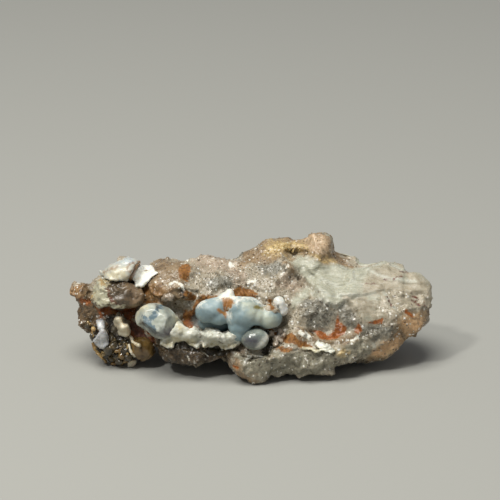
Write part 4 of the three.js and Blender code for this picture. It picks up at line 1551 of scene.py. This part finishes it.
class CHALCEDONY_OT_stage(Operator):
    """Make the floor, the lights and the camera"""

    bl_idname = "chalcedony.stage"
    bl_label = "Make Stage"

    def execute(self, context):
        scene = context.scene
        settings = scene.chalcedony.stage
        bm = bmesh.new()
        bmesh.ops.create_grid(bm, x_segments=1, y_segments=1, size=4.0)
        mesh = bpy.data.meshes.new("floor")
        bm.to_mesh(mesh)
        bm.free()
        floor = bpy.data.objects.new("floor", mesh)
        scene.collection.objects.link(floor)
        material, _, shader = new_material("pale_floor")
        shader.inputs["Base Color"].default_value = opaque(settings.floor)
        shader.inputs["Roughness"].default_value = 0.8
        mesh.materials.append(material)
        add_light("softbox", (-0.1, -0.1, 0.62), 0.42, settings.key_power, (1.0, 0.985, 0.93))
        add_light("spark", (-0.3, -0.28, 0.5), 0.07, settings.spark_power, (1.0, 0.98, 0.93))
        world = bpy.data.worlds.new("studio")
        world.use_nodes = True
        background = world.node_tree.nodes["Background"]
        background.inputs["Color"].default_value = (0.95, 0.96, 1.0, 1.0)
        background.inputs["Strength"].default_value = settings.fill
        scene.world = world
        lens = bpy.data.cameras.new("camera")
        lens.sensor_width = 36
        lens.lens = lens.sensor_width * CAMERA_DISTANCE / (FRAME_SIDE * PIXEL)
        lens.clip_start = 0.01
        camera = bpy.data.objects.new("camera", lens)
        camera.location = CAMERA_AT
        camera.rotation_euler = (math.pi / 2 - CAMERA_ELEVATION, 0, 0)
        scene.collection.objects.link(camera)
        scene.camera = camera
        scene.view_settings.view_transform = "Standard"
        scene.cycles.use_denoising = True
        return {"FINISHED"}


class CHALCEDONY_PT_panel(Panel):
    """Buttons that make the stone, in order"""

    bl_label = "Chalcedony"
    bl_idname = "CHALCEDONY_PT_panel"
    bl_space_type = "VIEW_3D"
    bl_region_type = "UI"
    bl_category = "Chalcedony"

    def draw(self, context):
        for operator in OPERATORS:
            self.layout.operator(operator.bl_idname)


SETTINGS = (RockSettings, GrowthSettings, DruseSettings, StageSettings, ChalcedonySettings)
OPERATORS = (
    CHALCEDONY_OT_rock,
    CHALCEDONY_OT_lobes,
    CHALCEDONY_OT_crusts,
    CHALCEDONY_OT_buds,
    CHALCEDONY_OT_druse,
    CHALCEDONY_OT_stage,
)


def register():
    for each in (*SETTINGS, *OPERATORS, CHALCEDONY_PT_panel):
        bpy.utils.register_class(each)
    bpy.types.Scene.chalcedony = PointerProperty(type=ChalcedonySettings)


def unregister():
    del bpy.types.Scene.chalcedony
    for each in (CHALCEDONY_PT_panel, *reversed(OPERATORS), *reversed(SETTINGS)):
        bpy.utils.unregister_class(each)


def main():
    register()
    patch_group()
    grain_group()
    mottle_group()
    bpy.ops.chalcedony.rock()
    bpy.ops.chalcedony.lobes()
    bpy.ops.chalcedony.crusts()
    bpy.ops.chalcedony.buds()
    bpy.ops.chalcedony.druse()
    bpy.ops.chalcedony.stage()


if __name__ == "__main__":
    main()
